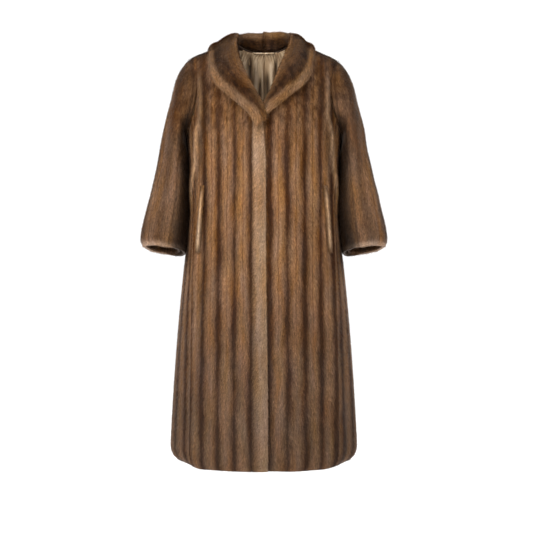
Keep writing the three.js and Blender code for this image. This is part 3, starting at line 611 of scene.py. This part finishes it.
def fur_material(name, dark, light, seam, pale_colour, stripe, grain):
    """Pelt strips: dark along their middles, light at their flanks, with a thin line at each seam."""
    made, tree, shader = new_material(name)
    g = Graph(tree)
    pelt = g.add("ShaderNodeAttribute", attribute_name="pelt").outputs["Vector"]
    strip, height, piece = g.add("ShaderNodeSeparateXYZ", {0: pelt}).outputs

    def place(across, along):
        return g.vector(g.math("MULTIPLY", strip, across), g.math("MULTIPLY", height, along), piece)

    sway = g.noise(place(0.7, 9), 1.0, 4)
    strip = g.math("MULTIPLY_ADD", g.math("SUBTRACT", sway, 0.5), 0.2, strip)
    number = g.math("FLOOR", strip)
    across = g.math("ABSOLUTE", g.math("SUBTRACT", g.math("FRACT", strip), 0.5))
    skin = g.add("ShaderNodeTexWhiteNoise", {"Vector": g.vector(number, 0.0, piece)}, noise_dimensions="3D")
    streak = g.noise(place(11, 26), 1.0, 4, 0.6)
    fine = g.noise(place(34, 140), 1.0, 2, 0.6)
    speck = g.noise(place(19, 330), 1.0, 1)
    blotch = g.noise(place(3.4, 44), 1.0, 3, 0.55)
    slow = g.noise(place(1.3, 5.5), 1.0, 3)
    # dusk is painted shade: it darkens and greys the fur low on the coat, and there its stripes and seam
    # lines also fade.
    dusk = g.value("dusk")
    mottle = g.value("mottle")
    by_seam = g.times(g.span(across, 0.45, 0.48), g.span(fine, 0.35, 0.6, 0.5, 1.0))
    across = g.math("MULTIPLY_ADD", g.math("SUBTRACT", streak, 0.5), 0.16, across)
    across = g.math("MULTIPLY_ADD", g.math("SUBTRACT", speck, 0.5), 0.1, across)
    across = g.math("MULTIPLY_ADD", g.math("SUBTRACT", slow, 0.5), 0.34, across)
    middle_colour = srgb(*[(a + b * 1.4) / 2.4 for a, b in zip(dark, light)])
    lines = g.ramp(
        across,
        [
            (0.0, srgb(*dark)),
            (0.05, srgb(*dark)),
            (0.18, middle_colour),
            (0.32, srgb(*[0.95 * c for c in light])),
            (0.44, srgb(*[1.03 * c for c in light])),
        ],
    )
    shown = g.math("MULTIPLY_ADD", mottle, -0.35 * stripe, stripe)
    colour = g.blend(g.math("MULTIPLY_ADD", dusk, -0.15 * stripe, shown), middle_colour, lines)
    colour = g.blend(g.times(by_seam, g.span(dusk, 0.1, 0.9, 0.62, 0.2)), colour, srgb(*seam))
    patches = g.times(g.span(blotch, 0.43, 0.62), mottle, 0.9)
    colour = g.blend(patches, colour, srgb(*dark))
    colour = g.blend(g.value("pale"), colour, srgb(*pale_colour))
    # The level carries painted shade: darker towards each blade's root and on the bare hide (tip), wherever
    # deep is set, and low on the coat (dusk).
    level = g.times(
        g.span(streak, 0.3, 0.7, 0.83, 1.2),
        g.span(fine, 0.3, 0.7, 1 - 0.2 * grain, 1 + 0.2 * grain),
        g.span(speck, 0.3, 0.7, 1 - 0.3 * grain, 1 + 0.3 * grain),
        g.span(slow, 0.3, 0.7, 0.88, 1.14),
        g.span(skin.outputs["Value"], 0, 1, 0.86, 1.12),
        g.span(g.value("tone"), 0, 1, 0.68, 1.32),
        g.span(g.value("tip"), 0, 1, 0.62, 1.12),
        g.span(g.value("deep"), 0, 1, 1.0, 0.12),
        g.span(dusk, 0, 1, 1.0, 0.53),
    )
    warmth = g.noise(place(1.7, 6), 1.0, 2)
    greyness = g.noise(place(2.6, 8), 1.0, 2)
    shade = g.add("ShaderNodeHueSaturation", {"Color": colour, "Value": level})
    drift = g.math("MULTIPLY_ADD", dusk, 0.006, 0.006)
    drift = g.times(g.math("SUBTRACT", warmth, 0.5), 2.5, drift)
    g.put(shade.inputs["Hue"], g.math("ADD", drift, 0.5))
    softer = g.times(g.span(greyness, 0.3, 0.7, 0.9, 1.14), g.span(dusk, 0, 1, 1.0, 0.92))
    g.put(shade.inputs["Saturation"], softer)
    # Painted sheen: the colour turns grey where the fur is seen edge-on, more so low on the coat.
    turned_away = g.add("ShaderNodeLayerWeight", {"Blend": 0.5}).outputs["Facing"]
    grazing_sheen = g.times(g.span(turned_away, 0.55, 0.98, 0, 0.5), g.span(dusk, 0, 0.6, 0.4, 1.0))
    g.put(shader.inputs["Base Color"], g.blend(grazing_sheen, shade.outputs[0], srgb(148, 128, 114)))
    g.put(shader.inputs["Roughness"], g.span(streak, 0.3, 0.7, 0.46, 0.62))
    shader.inputs["Sheen Weight"].default_value = 0.02
    shader.inputs["Sheen Roughness"].default_value = 0.35
    shader.inputs["Specular IOR Level"].default_value = 0.09
    bump = g.add("ShaderNodeBump", {"Strength": 0.5, "Distance": 0.002, "Height": fine})
    g.put(shader.inputs["Normal"], bump.outputs[0])
    return made


def satin_material(name):
    """Champagne satin: smooth, faintly ribbed by its weave, with painted shade down in its folds and a
    painted highlight on its crests.
    """
    made, tree, shader = new_material(name)
    g = Graph(tree)
    place = g.add("ShaderNodeTexCoord").outputs["Object"]
    parts = g.add("ShaderNodeSeparateXYZ", {0: place}).outputs
    level, deep, height = [g.math("MULTIPLY", part, by) for part, by in zip(parts, (60, 60, 9))]
    slack = g.noise(g.vector(level, deep, height), 1.0, 3)
    colour = g.ramp(slack, [(0.3, srgb(152, 124, 94)), (0.7, srgb(198, 173, 140))])
    # Painted shade in the folds (fold) and a painted highlight on the crests (crest).
    colour = g.blend(g.value("fold"), colour, srgb(44, 28, 15))
    colour = g.blend(g.value("crest"), colour, srgb(232, 212, 184))
    g.put(shader.inputs["Base Color"], colour)
    threads = g.add("ShaderNodeTexWave", {"Vector": place, "Scale": 900.0}, bands_direction="Z")
    folds = g.add("ShaderNodeBump", {"Strength": 0.5, "Distance": 0.003, "Height": slack})
    ribs = g.add("ShaderNodeBump", {"Strength": 0.12, "Distance": 0.0004, "Height": threads.outputs["Fac"]})
    g.put(ribs.inputs["Normal"], folds.outputs[0])
    g.put(shader.inputs["Normal"], ribs.outputs[0])
    g.put(shader.inputs["Roughness"], g.span(slack, 0.3, 0.7, 0.3, 0.42))
    shader.inputs["Sheen Weight"].default_value = 0.05
    shader.inputs["Specular IOR Level"].default_value = 0.3
    return made


# Each pale_colour is what the pale attribute blends to: a painted highlight, and on the collar and cuffs
# the colour of their pale rims too.
BODY_FUR = fur_material(
    "striped_pelt",
    dark=(61, 35, 17),
    light=(139, 102, 71),
    seam=(66, 39, 20),
    pale_colour=(184, 148, 112),
    stripe=1.0,
    grain=1.2,
)
SLEEVE_FUR = fur_material(
    "sleeve_pelt",
    dark=(66, 41, 22),
    light=(122, 87, 58),
    seam=(34, 18, 8),
    pale_colour=(156, 128, 106),
    stripe=0.75,
    grain=1.4,
)
COLLAR_FUR = fur_material(
    "collar_pelt",
    dark=(36, 18, 7),
    light=(120, 84, 53),
    seam=(60, 37, 20),
    pale_colour=(146, 111, 79),
    stripe=0.4,
    grain=1.8,
)
RIM_FUR = fur_material(
    "rim_pelt",
    dark=(96, 67, 45),
    light=(132, 99, 70),
    seam=(98, 68, 44),
    pale_colour=(162, 129, 99),
    stripe=0.4,
    grain=1.5,
)
WELT_FUR = fur_material(
    "welt_pelt",
    dark=(96, 66, 43),
    light=(130, 97, 67),
    seam=(98, 68, 42),
    pale_colour=(196, 162, 128),
    stripe=0.4,
    grain=1.2,
)
SATIN = satin_material("champagne_satin")


def blade_mesh(name, long, wide, rise):
    """One tapering blade of fur. Its leaf attribute keeps its flat shape, and its tip attribute runs from 0
    at the root to 1 at the tip, for the painted shade towards the root.
    """
    bm = bmesh.new()
    tip = bm.verts.layers.float.new("tip")
    leaf = bm.verts.layers.float_vector.new("leaf")
    for x, y, z in ((-0.5, 0, -0.1), (0.5, 0, -0.1), (0, 1, 1)):
        vert = bm.verts.new((x * wide, y * long, z * rise))
        vert[tip] = y
        vert[leaf] = Vector((x * wide, y * long, 0))
    bm.faces.new(bm.verts)
    mesh = bpy.data.meshes.new(name)
    bm.to_mesh(mesh)
    bm.free()
    return mesh


def planting():
    """Geometry nodes that scatter blades over a hide and turn each along the hide's lay."""
    tree = bpy.data.node_groups.new("planting", "GeometryNodeTree")
    face = tree.interface
    face.new_socket("Hide", in_out="INPUT", socket_type="NodeSocketGeometry")
    face.new_socket("Blade", in_out="INPUT", socket_type="NodeSocketObject")
    face.new_socket("Density", in_out="INPUT", socket_type="NodeSocketFloat")
    face.new_socket("Seed", in_out="INPUT", socket_type="NodeSocketInt")
    face.new_socket("Fur", in_out="OUTPUT", socket_type="NodeSocketGeometry")
    g = Graph(tree)
    given = g.add("NodeGroupInput").outputs

    def named(kind, name):
        return g.add("GeometryNodeInputNamedAttribute", {"Name": name}, data_type=kind).outputs[0]

    grow = g.math("MULTIPLY", given["Density"], named("FLOAT", "grow"))
    spots = g.add(
        "GeometryNodeDistributePointsOnFaces",
        {"Mesh": given["Hide"], "Density": grow, "Seed": given["Seed"]},
    )
    turn = g.add(
        "FunctionNodeAxesToRotation",
        {"Primary Axis": spots.outputs["Normal"], "Secondary Axis": named("FLOAT_VECTOR", "lay")},
        primary_axis="Z",
        secondary_axis="Y",
    )
    order = g.add("GeometryNodeInputIndex").outputs[0]
    stray = g.add("FunctionNodeRandomValue", {7: order}, data_type="FLOAT_VECTOR")
    stray.inputs[0].default_value = (-0.06, -0.45, -0.2)
    stray.inputs[1].default_value = (0.16, 0.45, 0.2)
    strayed = g.add("FunctionNodeEulerToRotation", {0: stray.outputs[0]})
    turned = g.add(
        "FunctionNodeRotateRotation", {0: turn.outputs[0], 1: strayed.outputs[0]}, rotation_space="LOCAL"
    )
    size = g.add("FunctionNodeRandomValue", {8: 3}, data_type="FLOAT")
    size.inputs[2].default_value = 0.7
    size.inputs[3].default_value = 1.25
    tone = g.add("FunctionNodeRandomValue", {8: 9}, data_type="FLOAT")
    toned = g.add(
        "GeometryNodeStoreNamedAttribute",
        {"Geometry": spots.outputs["Points"], "Name": "tone"},
        data_type="FLOAT",
        domain="POINT",
    )
    g.put(toned.inputs["Value"], tone.outputs[1])
    blade = g.add("GeometryNodeObjectInfo", {"Object": given["Blade"]})
    planted = g.add(
        "GeometryNodeInstanceOnPoints",
        {
            "Points": toned.outputs[0],
            "Instance": blade.outputs["Geometry"],
            "Rotation": turned.outputs[0],
            "Scale": g.math("MULTIPLY", size.outputs[1], named("FLOAT", "reach")),
        },
    )
    real = g.add("GeometryNodeRealizeInstances", {0: planted.outputs[0]})
    g.add("NodeGroupOutput", {0: real.outputs[0]})
    return tree


PLANTING = planting()
INPUTS = {item.name: item.identifier for item in PLANTING.interface.items_tree if item.in_out == "INPUT"}


def plant_fur(hide, name, blade, density, seed, material):
    """The fur of one hide, as one mesh of blades."""
    made = add_object(name, hide.data.copy())
    made.data.materials.clear()
    planted = made.modifiers.new("planting", "NODES")
    planted.node_group = PLANTING
    planted[INPUTS["Blade"]] = blade
    planted[INPUTS["Density"]] = float(density)
    planted[INPUTS["Seed"]] = seed
    made.data = finished_mesh(made, name)
    made.modifiers.clear()
    made.data.materials.clear()
    made.data.materials.append(material)
    bake_map(made.data)
    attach(made, "root")
    return made


def bake_map(mesh):
    """A map with each blade flat at its root's place, so that its colours bake apart."""
    pelt = np.empty(len(mesh.vertices) * 3, np.float32)
    mesh.attributes["pelt"].data.foreach_get("vector", pelt)
    leaf = np.empty(len(mesh.vertices) * 3, np.float32)
    mesh.attributes["leaf"].data.foreach_get("vector", leaf)
    pelt = pelt.reshape(-1, 3)
    leaf = leaf.reshape(-1, 3)
    place = np.stack([pelt[:, 0] * STRIP_WIDTH + leaf[:, 0], pelt[:, 1] - leaf[:, 1]], axis=1)
    low = place.min(0)
    span = place.max(0) - low
    place = 0.01 + 0.98 * (place - low) / span
    layer = mesh.uv_layers.new(name="OFBake")
    corner = np.empty(len(mesh.loops), np.int32)
    mesh.loops.foreach_get("vertex_index", corner)
    layer.uv.foreach_set("vector", place[corner].astype(np.float32).ravel())


BLADE = bpy.data.objects.new("blade", blade_mesh("blade", 0.0095, 0.0014, 0.0028))
COLLAR_BLADE = bpy.data.objects.new("collar_blade", blade_mesh("collar_blade", 0.010, 0.0013, 0.0034))
SHORT_BLADE = bpy.data.objects.new("short_blade", blade_mesh("short_blade", 0.008, 0.0011, 0.0026))

STRIP_WIDTH = 0.05  # of one pelt strip on the map that its colours bake to
SIDES = (("left", 1), ("right", -1))
DENSE = 1.0
THICK = 350000 * DENSE  # blades to a square metre


def finish_hide(made, nodes, materials):
    """Gives a hide its materials, hangs it on the root and hides the solids it stands in for."""
    for material in materials:
        made.data.materials.append(material)
    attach(made, "root")
    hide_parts(*nodes)


def body_panel(node, strips, seed, painted_light_and_shade=None):
    """One panel of the body: its hide, and the fur on it."""
    made = hide_from(node)
    dress_body_hide(made, strips, seed, painted_light_and_shade=painted_light_and_shade)
    fur = plant_fur(made, node + "_fur", BLADE, THICK, seed, BODY_FUR)
    finish_hide(made, [node], [BODY_FUR, SATIN])


def sleeve_shadow(p):
    """Painted shadow on the sides where the sleeves hang against them."""
    z = p[:, 2]
    hidden = np.maximum(ease((np.abs(p[:, 0]) - 0.205) / 0.016), p[:, 1] > middle(z))
    return {"deep": 0.95 * hidden * ease((z + 0.68) / 0.1) * ease((-0.1 - z) / 0.06)}


body_panel("back", back_strips, 1)
for name, side in SIDES:
    body_panel("front_" + name, lambda p, side=side: front_strips(p, side), 2 + side)
    body_panel("side_" + name, side_strips, 6 + side, sleeve_shadow)


def band_light_and_shade(p):
    """A painted highlight, palest along the band's free edge, whose pale part narrows towards the hem, with
    painted shade along its inner edge and low on the band.
    """
    down = np.clip((-0.36 - p[:, 2]) / 0.7, 0, 1)
    rise = ease((p[:, 0] + 0.031 - 0.007 * down) / (0.008 + 0.012 * down))
    at_top = ease((p[:, 2] + 0.31) / 0.1)
    edge = ease((-0.028 + 0.005 * down - p[:, 0]) / 0.006)
    dusk = 0.85 * ease((-0.42 - p[:, 2]) / 0.75)
    return {"pale": (0.1 + 0.9 * rise) * (1 - 0.5 * at_top), "deep": 0.5 * edge, "dusk": dusk}


def make_band():
    """The strip along the right front's edge, pale with a painted highlight. Its upper part narrows."""
    made = hide_from("front_band")
    p = points_of(made.data)
    p[:, 0] -= 0.006 * ease((p[:, 0] + 0.03) / 0.03) * ease((p[:, 2] + 1.05) / 0.5)
    place_points(made.data, p)
    dress_body_hide(made, lambda p: (p[:, 0] + 0.033) / 0.044 + 0.5, 10, 0.002, band_light_and_shade, slant=-0.4)
    fur = plant_fur(made, "front_band_fur", SHORT_BLADE, THICK * 1.5, 10, RIM_FUR)
    finish_hide(made, ["front_band"], [RIM_FUR, SATIN])


make_band()

SLEEVE_STRIPS = 6
SEAM_TURN = math.radians(7)  # where the first seam of a sleeve runs, from its upper side


def sleeve_strips(turn):
    """Strip numbers round a sleeve, that start again at its hidden inner side."""
    return ((turn - SEAM_TURN + np.pi) % (2 * np.pi) - np.pi) / (2 * np.pi) * SLEEVE_STRIPS


def round_arm(p, at, turn, side):
    """The turn round the arm, measured from a straight line through its upper part."""
    shift = (p[:, 2] + 0.32) * -0.127
    wide = (side * p[:, 0] - 0.263 - shift) / 0.085
    deep = (p[:, 1] - 0.012) / 0.088
    low = ease((at - 0.25) / 0.3)
    return np.arctan2(mix(deep, np.sin(turn), low), mix(wide, np.cos(turn), low)) % (2 * np.pi)


def number_on(mesh, count):
    """Keeps strip numbers running on over the faces where they start again."""
    pelt = np.empty(len(mesh.vertices) * 3, np.float32)
    mesh.attributes["pelt"].data.foreach_get("vector", pelt)
    mesh.attributes.remove(mesh.attributes["pelt"])
    corner = np.empty(len(mesh.loops), np.int32)
    mesh.loops.foreach_get("vertex_index", corner)
    starts = np.empty(len(mesh.polygons), np.int32)
    mesh.polygons.foreach_get("loop_start", starts)
    sizes = np.empty(len(mesh.polygons), np.int32)
    mesh.polygons.foreach_get("loop_total", sizes)
    pelt = pelt.reshape(-1, 3)[corner]
    highest = np.repeat(np.maximum.reduceat(pelt[:, 0], starts), sizes)
    pelt[:, 0] += np.where(highest - pelt[:, 0] > count / 2, count, 0)
    layer = mesh.attributes.new("pelt", "FLOAT_VECTOR", "CORNER")
    layer.data.foreach_set("vector", pelt.ravel())


def even_out(turn):
    """The depth of the eight soft channels along the solid's sleeve, to fill them again."""
    eighth = np.abs((turn / (2 * np.pi) * 8 + 0.5) % 1 - 0.5) * 3
    near = (4 - 6 * eighth**2 + 3 * eighth**3) / 6
    return 0.0024 * np.where(eighth < 1, near, (2 - np.minimum(eighth, 2)) ** 3 / 6)


def make_sleeve(name, side):
    """One sleeve, full below and pressed soft against the side of the body, with painted shade on that
    inner side.
    """
    node = "sleeve_" + name
    made = hide_from(node)
    mesh = made.data
    p = points_of(mesh)
    at, turn, away = sleeve_place(p, side)
    out = unit(away)
    facing = np.sum(normals_of(mesh) * out, axis=1)
    inner = ease((-np.cos(turn) - 0.15) / 0.5)
    strip = sleeve_strips(round_arm(p, at, turn, side))
    to_seam = np.abs((strip + 0.5) % 1 - 0.5) * 2 * np.pi / SLEEVE_STRIPS
    lower = ease((at - 0.1) / 0.2)
    bend = 0.0018 * np.sin(5 * turn + 9 * at) * lower + 0.003 * swirl(p, 20 + side, 14) * ease(at * 4)
    bend += (even_out(turn) - 0.003 * np.exp(-((to_seam / 0.07) ** 2))) * lower * (facing > 0)
    bend += 0.011 * inner * ease((at - 0.1) / 0.2) - 0.002 * ease((at - 0.95) / 0.05) * (1 - inner)
    bend -= 0.007 * ease((at - 0.9) / 0.08) * (facing < 0) * (1 - inner)
    p = p + out * (bend - 0.003 * ease(facing) * (1 - inner))[:, None]
    below = sleeve_frame(np.minimum(1, at + 0.02), side)[0]
    above = sleeve_frame(np.maximum(0, at - 0.02), side)[0]
    down = unit(below - above)
    p = settle(p - down * (0.001 * ease((at - 0.88) / 0.12))[:, None])
    place_points(mesh, p)
    normals = normals_of(mesh)
    facing = np.sum(normals * out, axis=1)
    pelt = np.stack([strip, p[:, 2], np.full(len(p), 20.0 + side)], axis=1)
    front = ease((-np.sin(turn) - 0.5) / 0.4)
    note_fur(
        mesh,
        pelt,
        laid(p, normals, DOWN + 0.35 * down, 20 + side),
        ease((facing - 0.35) / 0.4),
        # pale is a painted highlight down the sleeve's front and the pale rim at the cuff; dusk is painted
        # shade low on the sleeve; deep is painted shade on the inner side and at the top.
        pale=np.maximum(0.12 * front * ease((at - 0.15) / 0.3), 0.85 * ease((at - 0.955) / 0.035)),
        dusk=0.15 * ease((at - 0.8) / 0.1) * (1 - ease((at - 0.965) / 0.02)),
        reach=1 - 0.6 * ease((at - 0.965) / 0.025),
        deep=np.maximum(0.95 * inner, 0.25 * ease((0.25 - at) / 0.2)),
        mottle=0.5 * ease((0.35 - at) / 0.3) + 0.15,
    )
    for face in mesh.polygons:
        corners = list(face.vertices)
        face.material_index = 1 if (facing[corners] < -0.3).all() and at[corners].max() < 0.93 else 0
    number_on(mesh, SLEEVE_STRIPS)
    fur = plant_fur(made, node + "_fur", BLADE, THICK, 20 + side, SLEEVE_FUR)
    finish_hide(made, [node], [SLEEVE_FUR, SATIN])


def make_cuff_facing(name, side):
    """The fur turned in at a cuff."""
    node = "cuff_facing_" + name
    made = hide_from(node, 1)
    mesh = made.data
    p = points_of(mesh)
    at, turn, away = sleeve_place(p, side)
    down = unit(sleeve_frame(np.ones(len(p)), side)[0] - sleeve_frame(np.full(len(p), 0.9), side)[0])
    outer = 1 - ease((-np.cos(turn) - 0.15) / 0.5)
    p = p - unit(away) * (0.0075 * outer)[:, None] - down * (0.002 * ease((at - 0.88) / 0.12))[:, None]
    place_points(mesh, p)
    normals = normals_of(mesh)
    facing = np.sum(normals * unit(away), axis=1)
    pelt = np.stack([sleeve_strips(turn), -at * 0.58, np.full(len(p), 24.0 + side)], axis=1)
    grow = ease((-facing - 0.1) / 0.5)
    # dusk and deep paint shade over the fur turned in at the cuff.
    note_fur(mesh, pelt, laid(p, normals, DOWN, 24 + side), grow, dusk=0.3, deep=0.35, mottle=0.9)
    number_on(mesh, SLEEVE_STRIPS)
    fur = plant_fur(made, node + "_fur", SHORT_BLADE, THICK, 24 + side, SLEEVE_FUR)
    finish_hide(made, [node], [SLEEVE_FUR])


def make_collar(name, side):
    """Half the shawl collar: its roll, its pale rim and the dark patches between them."""
    node = "collar_" + name
    made = hide_from(node)
    mesh = made.data
    p = points_of(mesh)
    at, across, line, over, from_edge = collar_place(p, side)
    normals = normals_of(mesh)
    seen = unit(np.cross(line, over)) * side
    facing = np.sum(normals * seen, axis=1)
    near_back = 1 - ease(np.abs(p[:, 0]) / 0.014)
    roll = 0.004 * ease(1 - np.abs(from_edge - 0.013) / 0.018) * ease(facing)
    soft = 0.002 * swirl(p, 36 + side, 17)
    p = p + normals * ((roll + soft - 0.003) * (1 - 0.9 * near_back))[:, None]
    p[:, 0] -= side * (0.0036 * near_back + 0.0045 * ease((-0.12 - p[:, 2]) / 0.06))
    p[:, 2] += 0.009 * ease(p[:, 2] / 0.04) * ease((0.27 - at) / 0.15)
    if side < 0:
        open_neck = ease((at - 0.42) / 0.2) * ease((0.98 - at) / 0.25)
        p[:, 0] -= 0.012 * np.exp(-((across / 0.45) ** 2)) * open_neck
    else:
        p[:, 0] -= 0.008 * ease((at - 0.2) / 0.12) * ease((0.58 - at) / 0.14) * ease((across - 0.2) / 0.5)
        p[:, 2] += 0.004 * ease(p[:, 2] / 0.04) * ease((0.36 - at) / 0.1)
    p = settle(p)
    place_points(mesh, p)
    normals = normals_of(mesh)
    facing = np.sum(normals * seen, axis=1)
    stray = 0.005 * swirl(p, 33 + side, 30)
    strip = 0.5 + (from_edge + stray - 0.048) / 0.085
    pelt = np.stack([strip, at * 0.55, np.full(len(p), 30.0 + side)], axis=1)
    way = line + over * (0.25 + 0.3 * ease(across))[:, None] + 0.35 * DOWN
    stand = ease((-across - 0.15) / 0.3)
    middle_of_pelt = ease(1.25 - np.abs(from_edge + stray - 0.05) / 0.026) * ease((at - 0.4) / 0.1)
    toward_band = 0.95 - 0.35 * ease((at - 0.55) / 0.2) + 0.2 * ease((at - 0.88) / 0.1)
    rim = toward_band * (1 - ease((from_edge + stray - 0.021) / 0.013))
    at_back = 0.6 * (1 - ease((at - 0.38) / 0.12)) * (1 - stand)
    along_roll = 0.35 * np.exp(-((across / 0.2) ** 2)) * ease((at - 0.4) / 0.1)
    note_fur(
        mesh,
        pelt,
        laid(p, normals, unit(way), 30 + side, 0.2),
        ease((facing + 0.3) / 0.35),
        # pale is the pale rim and a painted highlight along the roll and over the back of the collar; deep
        # is painted shade on the stand and the pelt's slightly darker middle.
        pale=np.maximum(rim, np.maximum(at_back, along_roll)),
        mottle=np.maximum(0.25 + 0.75 * middle_of_pelt, 0.9 * stand),
        deep=np.maximum(0.4 * stand, 0.1 * middle_of_pelt),
    )
    fur = plant_fur(made, node + "_fur", COLLAR_BLADE, THICK * 1.3, 30 + side, COLLAR_FUR)
    finish_hide(made, [node], [COLLAR_FUR])


def make_welt(name, side):
    node = "pocket_welt_" + name
    made = hide_from(node)
    p = points_of(made.data)
    line = np.polyfit(p[:, 2], p[:, 0], 2)
    ends = p[:, 2].min(), p[:, 2].max()

    def crest(p):
        """A painted highlight along the welt's rolled crest and painted shade beside it; the highlight
        fades at its ends.
        """
        off = np.abs(p[:, 0] - np.polyval(line, p[:, 2]))
        within = ease((p[:, 2] - ends[0]) / 0.03) * ease((ends[1] - p[:, 2]) / 0.03)
        high = np.exp(-((off / 0.0038) ** 2)) * within
        return {"pale": high, "deep": 0.35 * (1 - high)}

    dress_body_hide(made, lambda p: (np.abs(p[:, 0]) - 0.17) / 0.05, 40 + side, 0.0015, crest)
    fur = plant_fur(made, node + "_fur", SHORT_BLADE, THICK * 1.5, 40 + side, WELT_FUR)
    finish_hide(made, [node], [WELT_FUR, SATIN])


for name, side in SIDES:
    make_sleeve(name, side)
    make_cuff_facing(name, side)
    make_collar(name, side)
    make_welt(name, side)

# The lining's folds: place at the top, drift with height, half width, depth, where each starts and ends
TROUGHS = [
    (-0.0425, 0.00, 0.0062, 0.013, -0.004, -0.240),
    (0.0085, -0.02, 0.0046, 0.009, -0.050, -0.150),
    (-0.0125, 0.00, 0.0034, 0.010, -0.070, -0.300),
    (0.039, 0.06, 0.0042, 0.010, -0.004, -0.110),
    (0.060, -0.10, 0.0060, 0.010, -0.060, -0.300),
]
RIDGES = [
    (-0.0235, 0.00, 0.0055, 0.005, -0.010, -0.300),
    (-0.0045, 0.00, 0.0028, 0.005, -0.040, -0.300),
    (0.022, -0.01, 0.0060, 0.004, -0.020, -0.300),
    (-0.058, 0.00, 0.0070, 0.005, -0.006, -0.120),
]


def crease(p, top, drift, wide, deep, start, end):
    """The share of one fold's depth at each point."""
    off = p[:, 0] - top - drift * p[:, 2]
    wide = wide * (1 + 0.4 * ease((-0.02 - p[:, 2]) / 0.09))
    along = ease((start - p[:, 2]) / 0.03) * ease((p[:, 2] - end) / 0.03)
    return np.exp(-((off / wide) ** 2)) * along


def make_lining():
    """The satin at the back of the neck, gathered into folds, and the loop on it."""
    loop = hide_from("hanging_loop")
    tape = points_of(loop.data)
    tape[:, 2] = mix(tape[:, 2].mean(), tape[:, 2], 0.6)
    place_points(loop.data, tape)
    # The loop takes a tenth of the satin's painted fold shade, which darkens it a little.
    add_values(loop.data, "fold", np.full(len(tape), 0.1))
    loop.data.materials.append(SATIN)
    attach(loop, "root")
    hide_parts("hanging_loop")
    made = hide_from("lining_back")
    mesh = made.data
    p = points_of(mesh)
    # fold paints shade into the troughs and gathers, and crest paints a highlight onto the ridges.
    fold = np.zeros(len(p))
    crest = np.zeros(len(p))
    for row in TROUGHS:
        share = crease(p, *row)
        p[:, 1] += row[3] * share
        fold = np.maximum(fold, share)
    for row in RIDGES:
        share = crease(p, *row)
        p[:, 1] -= row[3] * share
        fold = fold * (1 - 0.7 * share)
        crest = np.maximum(crest, share)
    slanted = p[:, 0] + 0.45 * (p[:, 2] + 0.004) * np.sign(p[:, 0])
    gather = np.sin(slanted * 2 * np.pi / 0.0085 + 2 * swirl(p, 50, 40)) * ease((p[:, 2] + 0.045) / 0.03)
    p[:, 1] -= 0.0014 * gather
    fold = np.maximum(fold, 0.35 * ease(-gather))
    place_points(mesh, p)
    add_values(mesh, "fold", 0.9 * fold)
    add_values(mesh, "crest", 0.35 * crest * (1 - fold))
    finish_hide(made, ["lining_back"], [SATIN])


make_lining()

FLOOR_Z = -1.47
CAMERA_PLACE = (0.0073, -3.3, -0.638)


def soft_light(name, place, aim, size, power):
    lamp = bpy.data.lights.new(name, "AREA")
    lamp.shape = "DISK"
    lamp.size = size
    lamp.energy = power
    made = bpy.data.objects.new(name, lamp)
    made.location = place
    made.rotation_euler = (Vector(aim) - Vector(place)).to_track_quat("-Z", "Y").to_euler()
    bpy.context.scene.collection.objects.link(made)


def make_studio():
    """White paper and sky, and four soft lights: most of it from the front left."""
    bm = bmesh.new()
    bmesh.ops.create_circle(bm, cap_ends=True, segments=96, radius=9)
    bmesh.ops.translate(bm, verts=bm.verts, vec=(0, 0, FLOOR_Z))
    mesh = bpy.data.meshes.new("floor")
    bm.to_mesh(mesh)
    bm.free()
    floor = add_object("floor", mesh)
    paper, _, shader = new_material("floor_paper")
    shader.inputs["Base Color"].default_value = (0.97, 0.97, 0.97, 1)
    shader.inputs["Roughness"].default_value = 0.9
    mesh.materials.append(paper)
    scene = bpy.context.scene
    world = bpy.data.worlds.new("studio")
    world.use_nodes = True
    world.node_tree.nodes["Background"].inputs[0].default_value = (1, 1, 1, 1)
    world.node_tree.nodes["Background"].inputs[1].default_value = 1.06
    scene.world = world
    scene.view_settings.view_transform = "Standard"
    middle_of_coat = (0, 0, -0.55)
    soft_light("key", (-1.7, -2.9, 1.1), middle_of_coat, 1.6, 140)
    soft_light("fill", (2.3, -2.6, 0.2), middle_of_coat, 1.8, 40)
    soft_light("edge_left", (-2.6, 1.5, 0.4), middle_of_coat, 1.2, 18)
    soft_light("edge_right", (2.6, 1.5, 0.4), middle_of_coat, 1.2, 18)


def make_camera():
    """Level with the middle of the coat, straight in front."""
    lens = bpy.data.cameras.new("camera")
    lens.lens = 76.3
    lens.sensor_width = 36
    camera = bpy.data.objects.new("camera", lens)
    camera.location = CAMERA_PLACE
    camera.rotation_euler = (math.pi / 2, 0, 0)
    bpy.context.scene.collection.objects.link(camera)
    bpy.context.scene.camera = camera


make_studio()
make_camera()
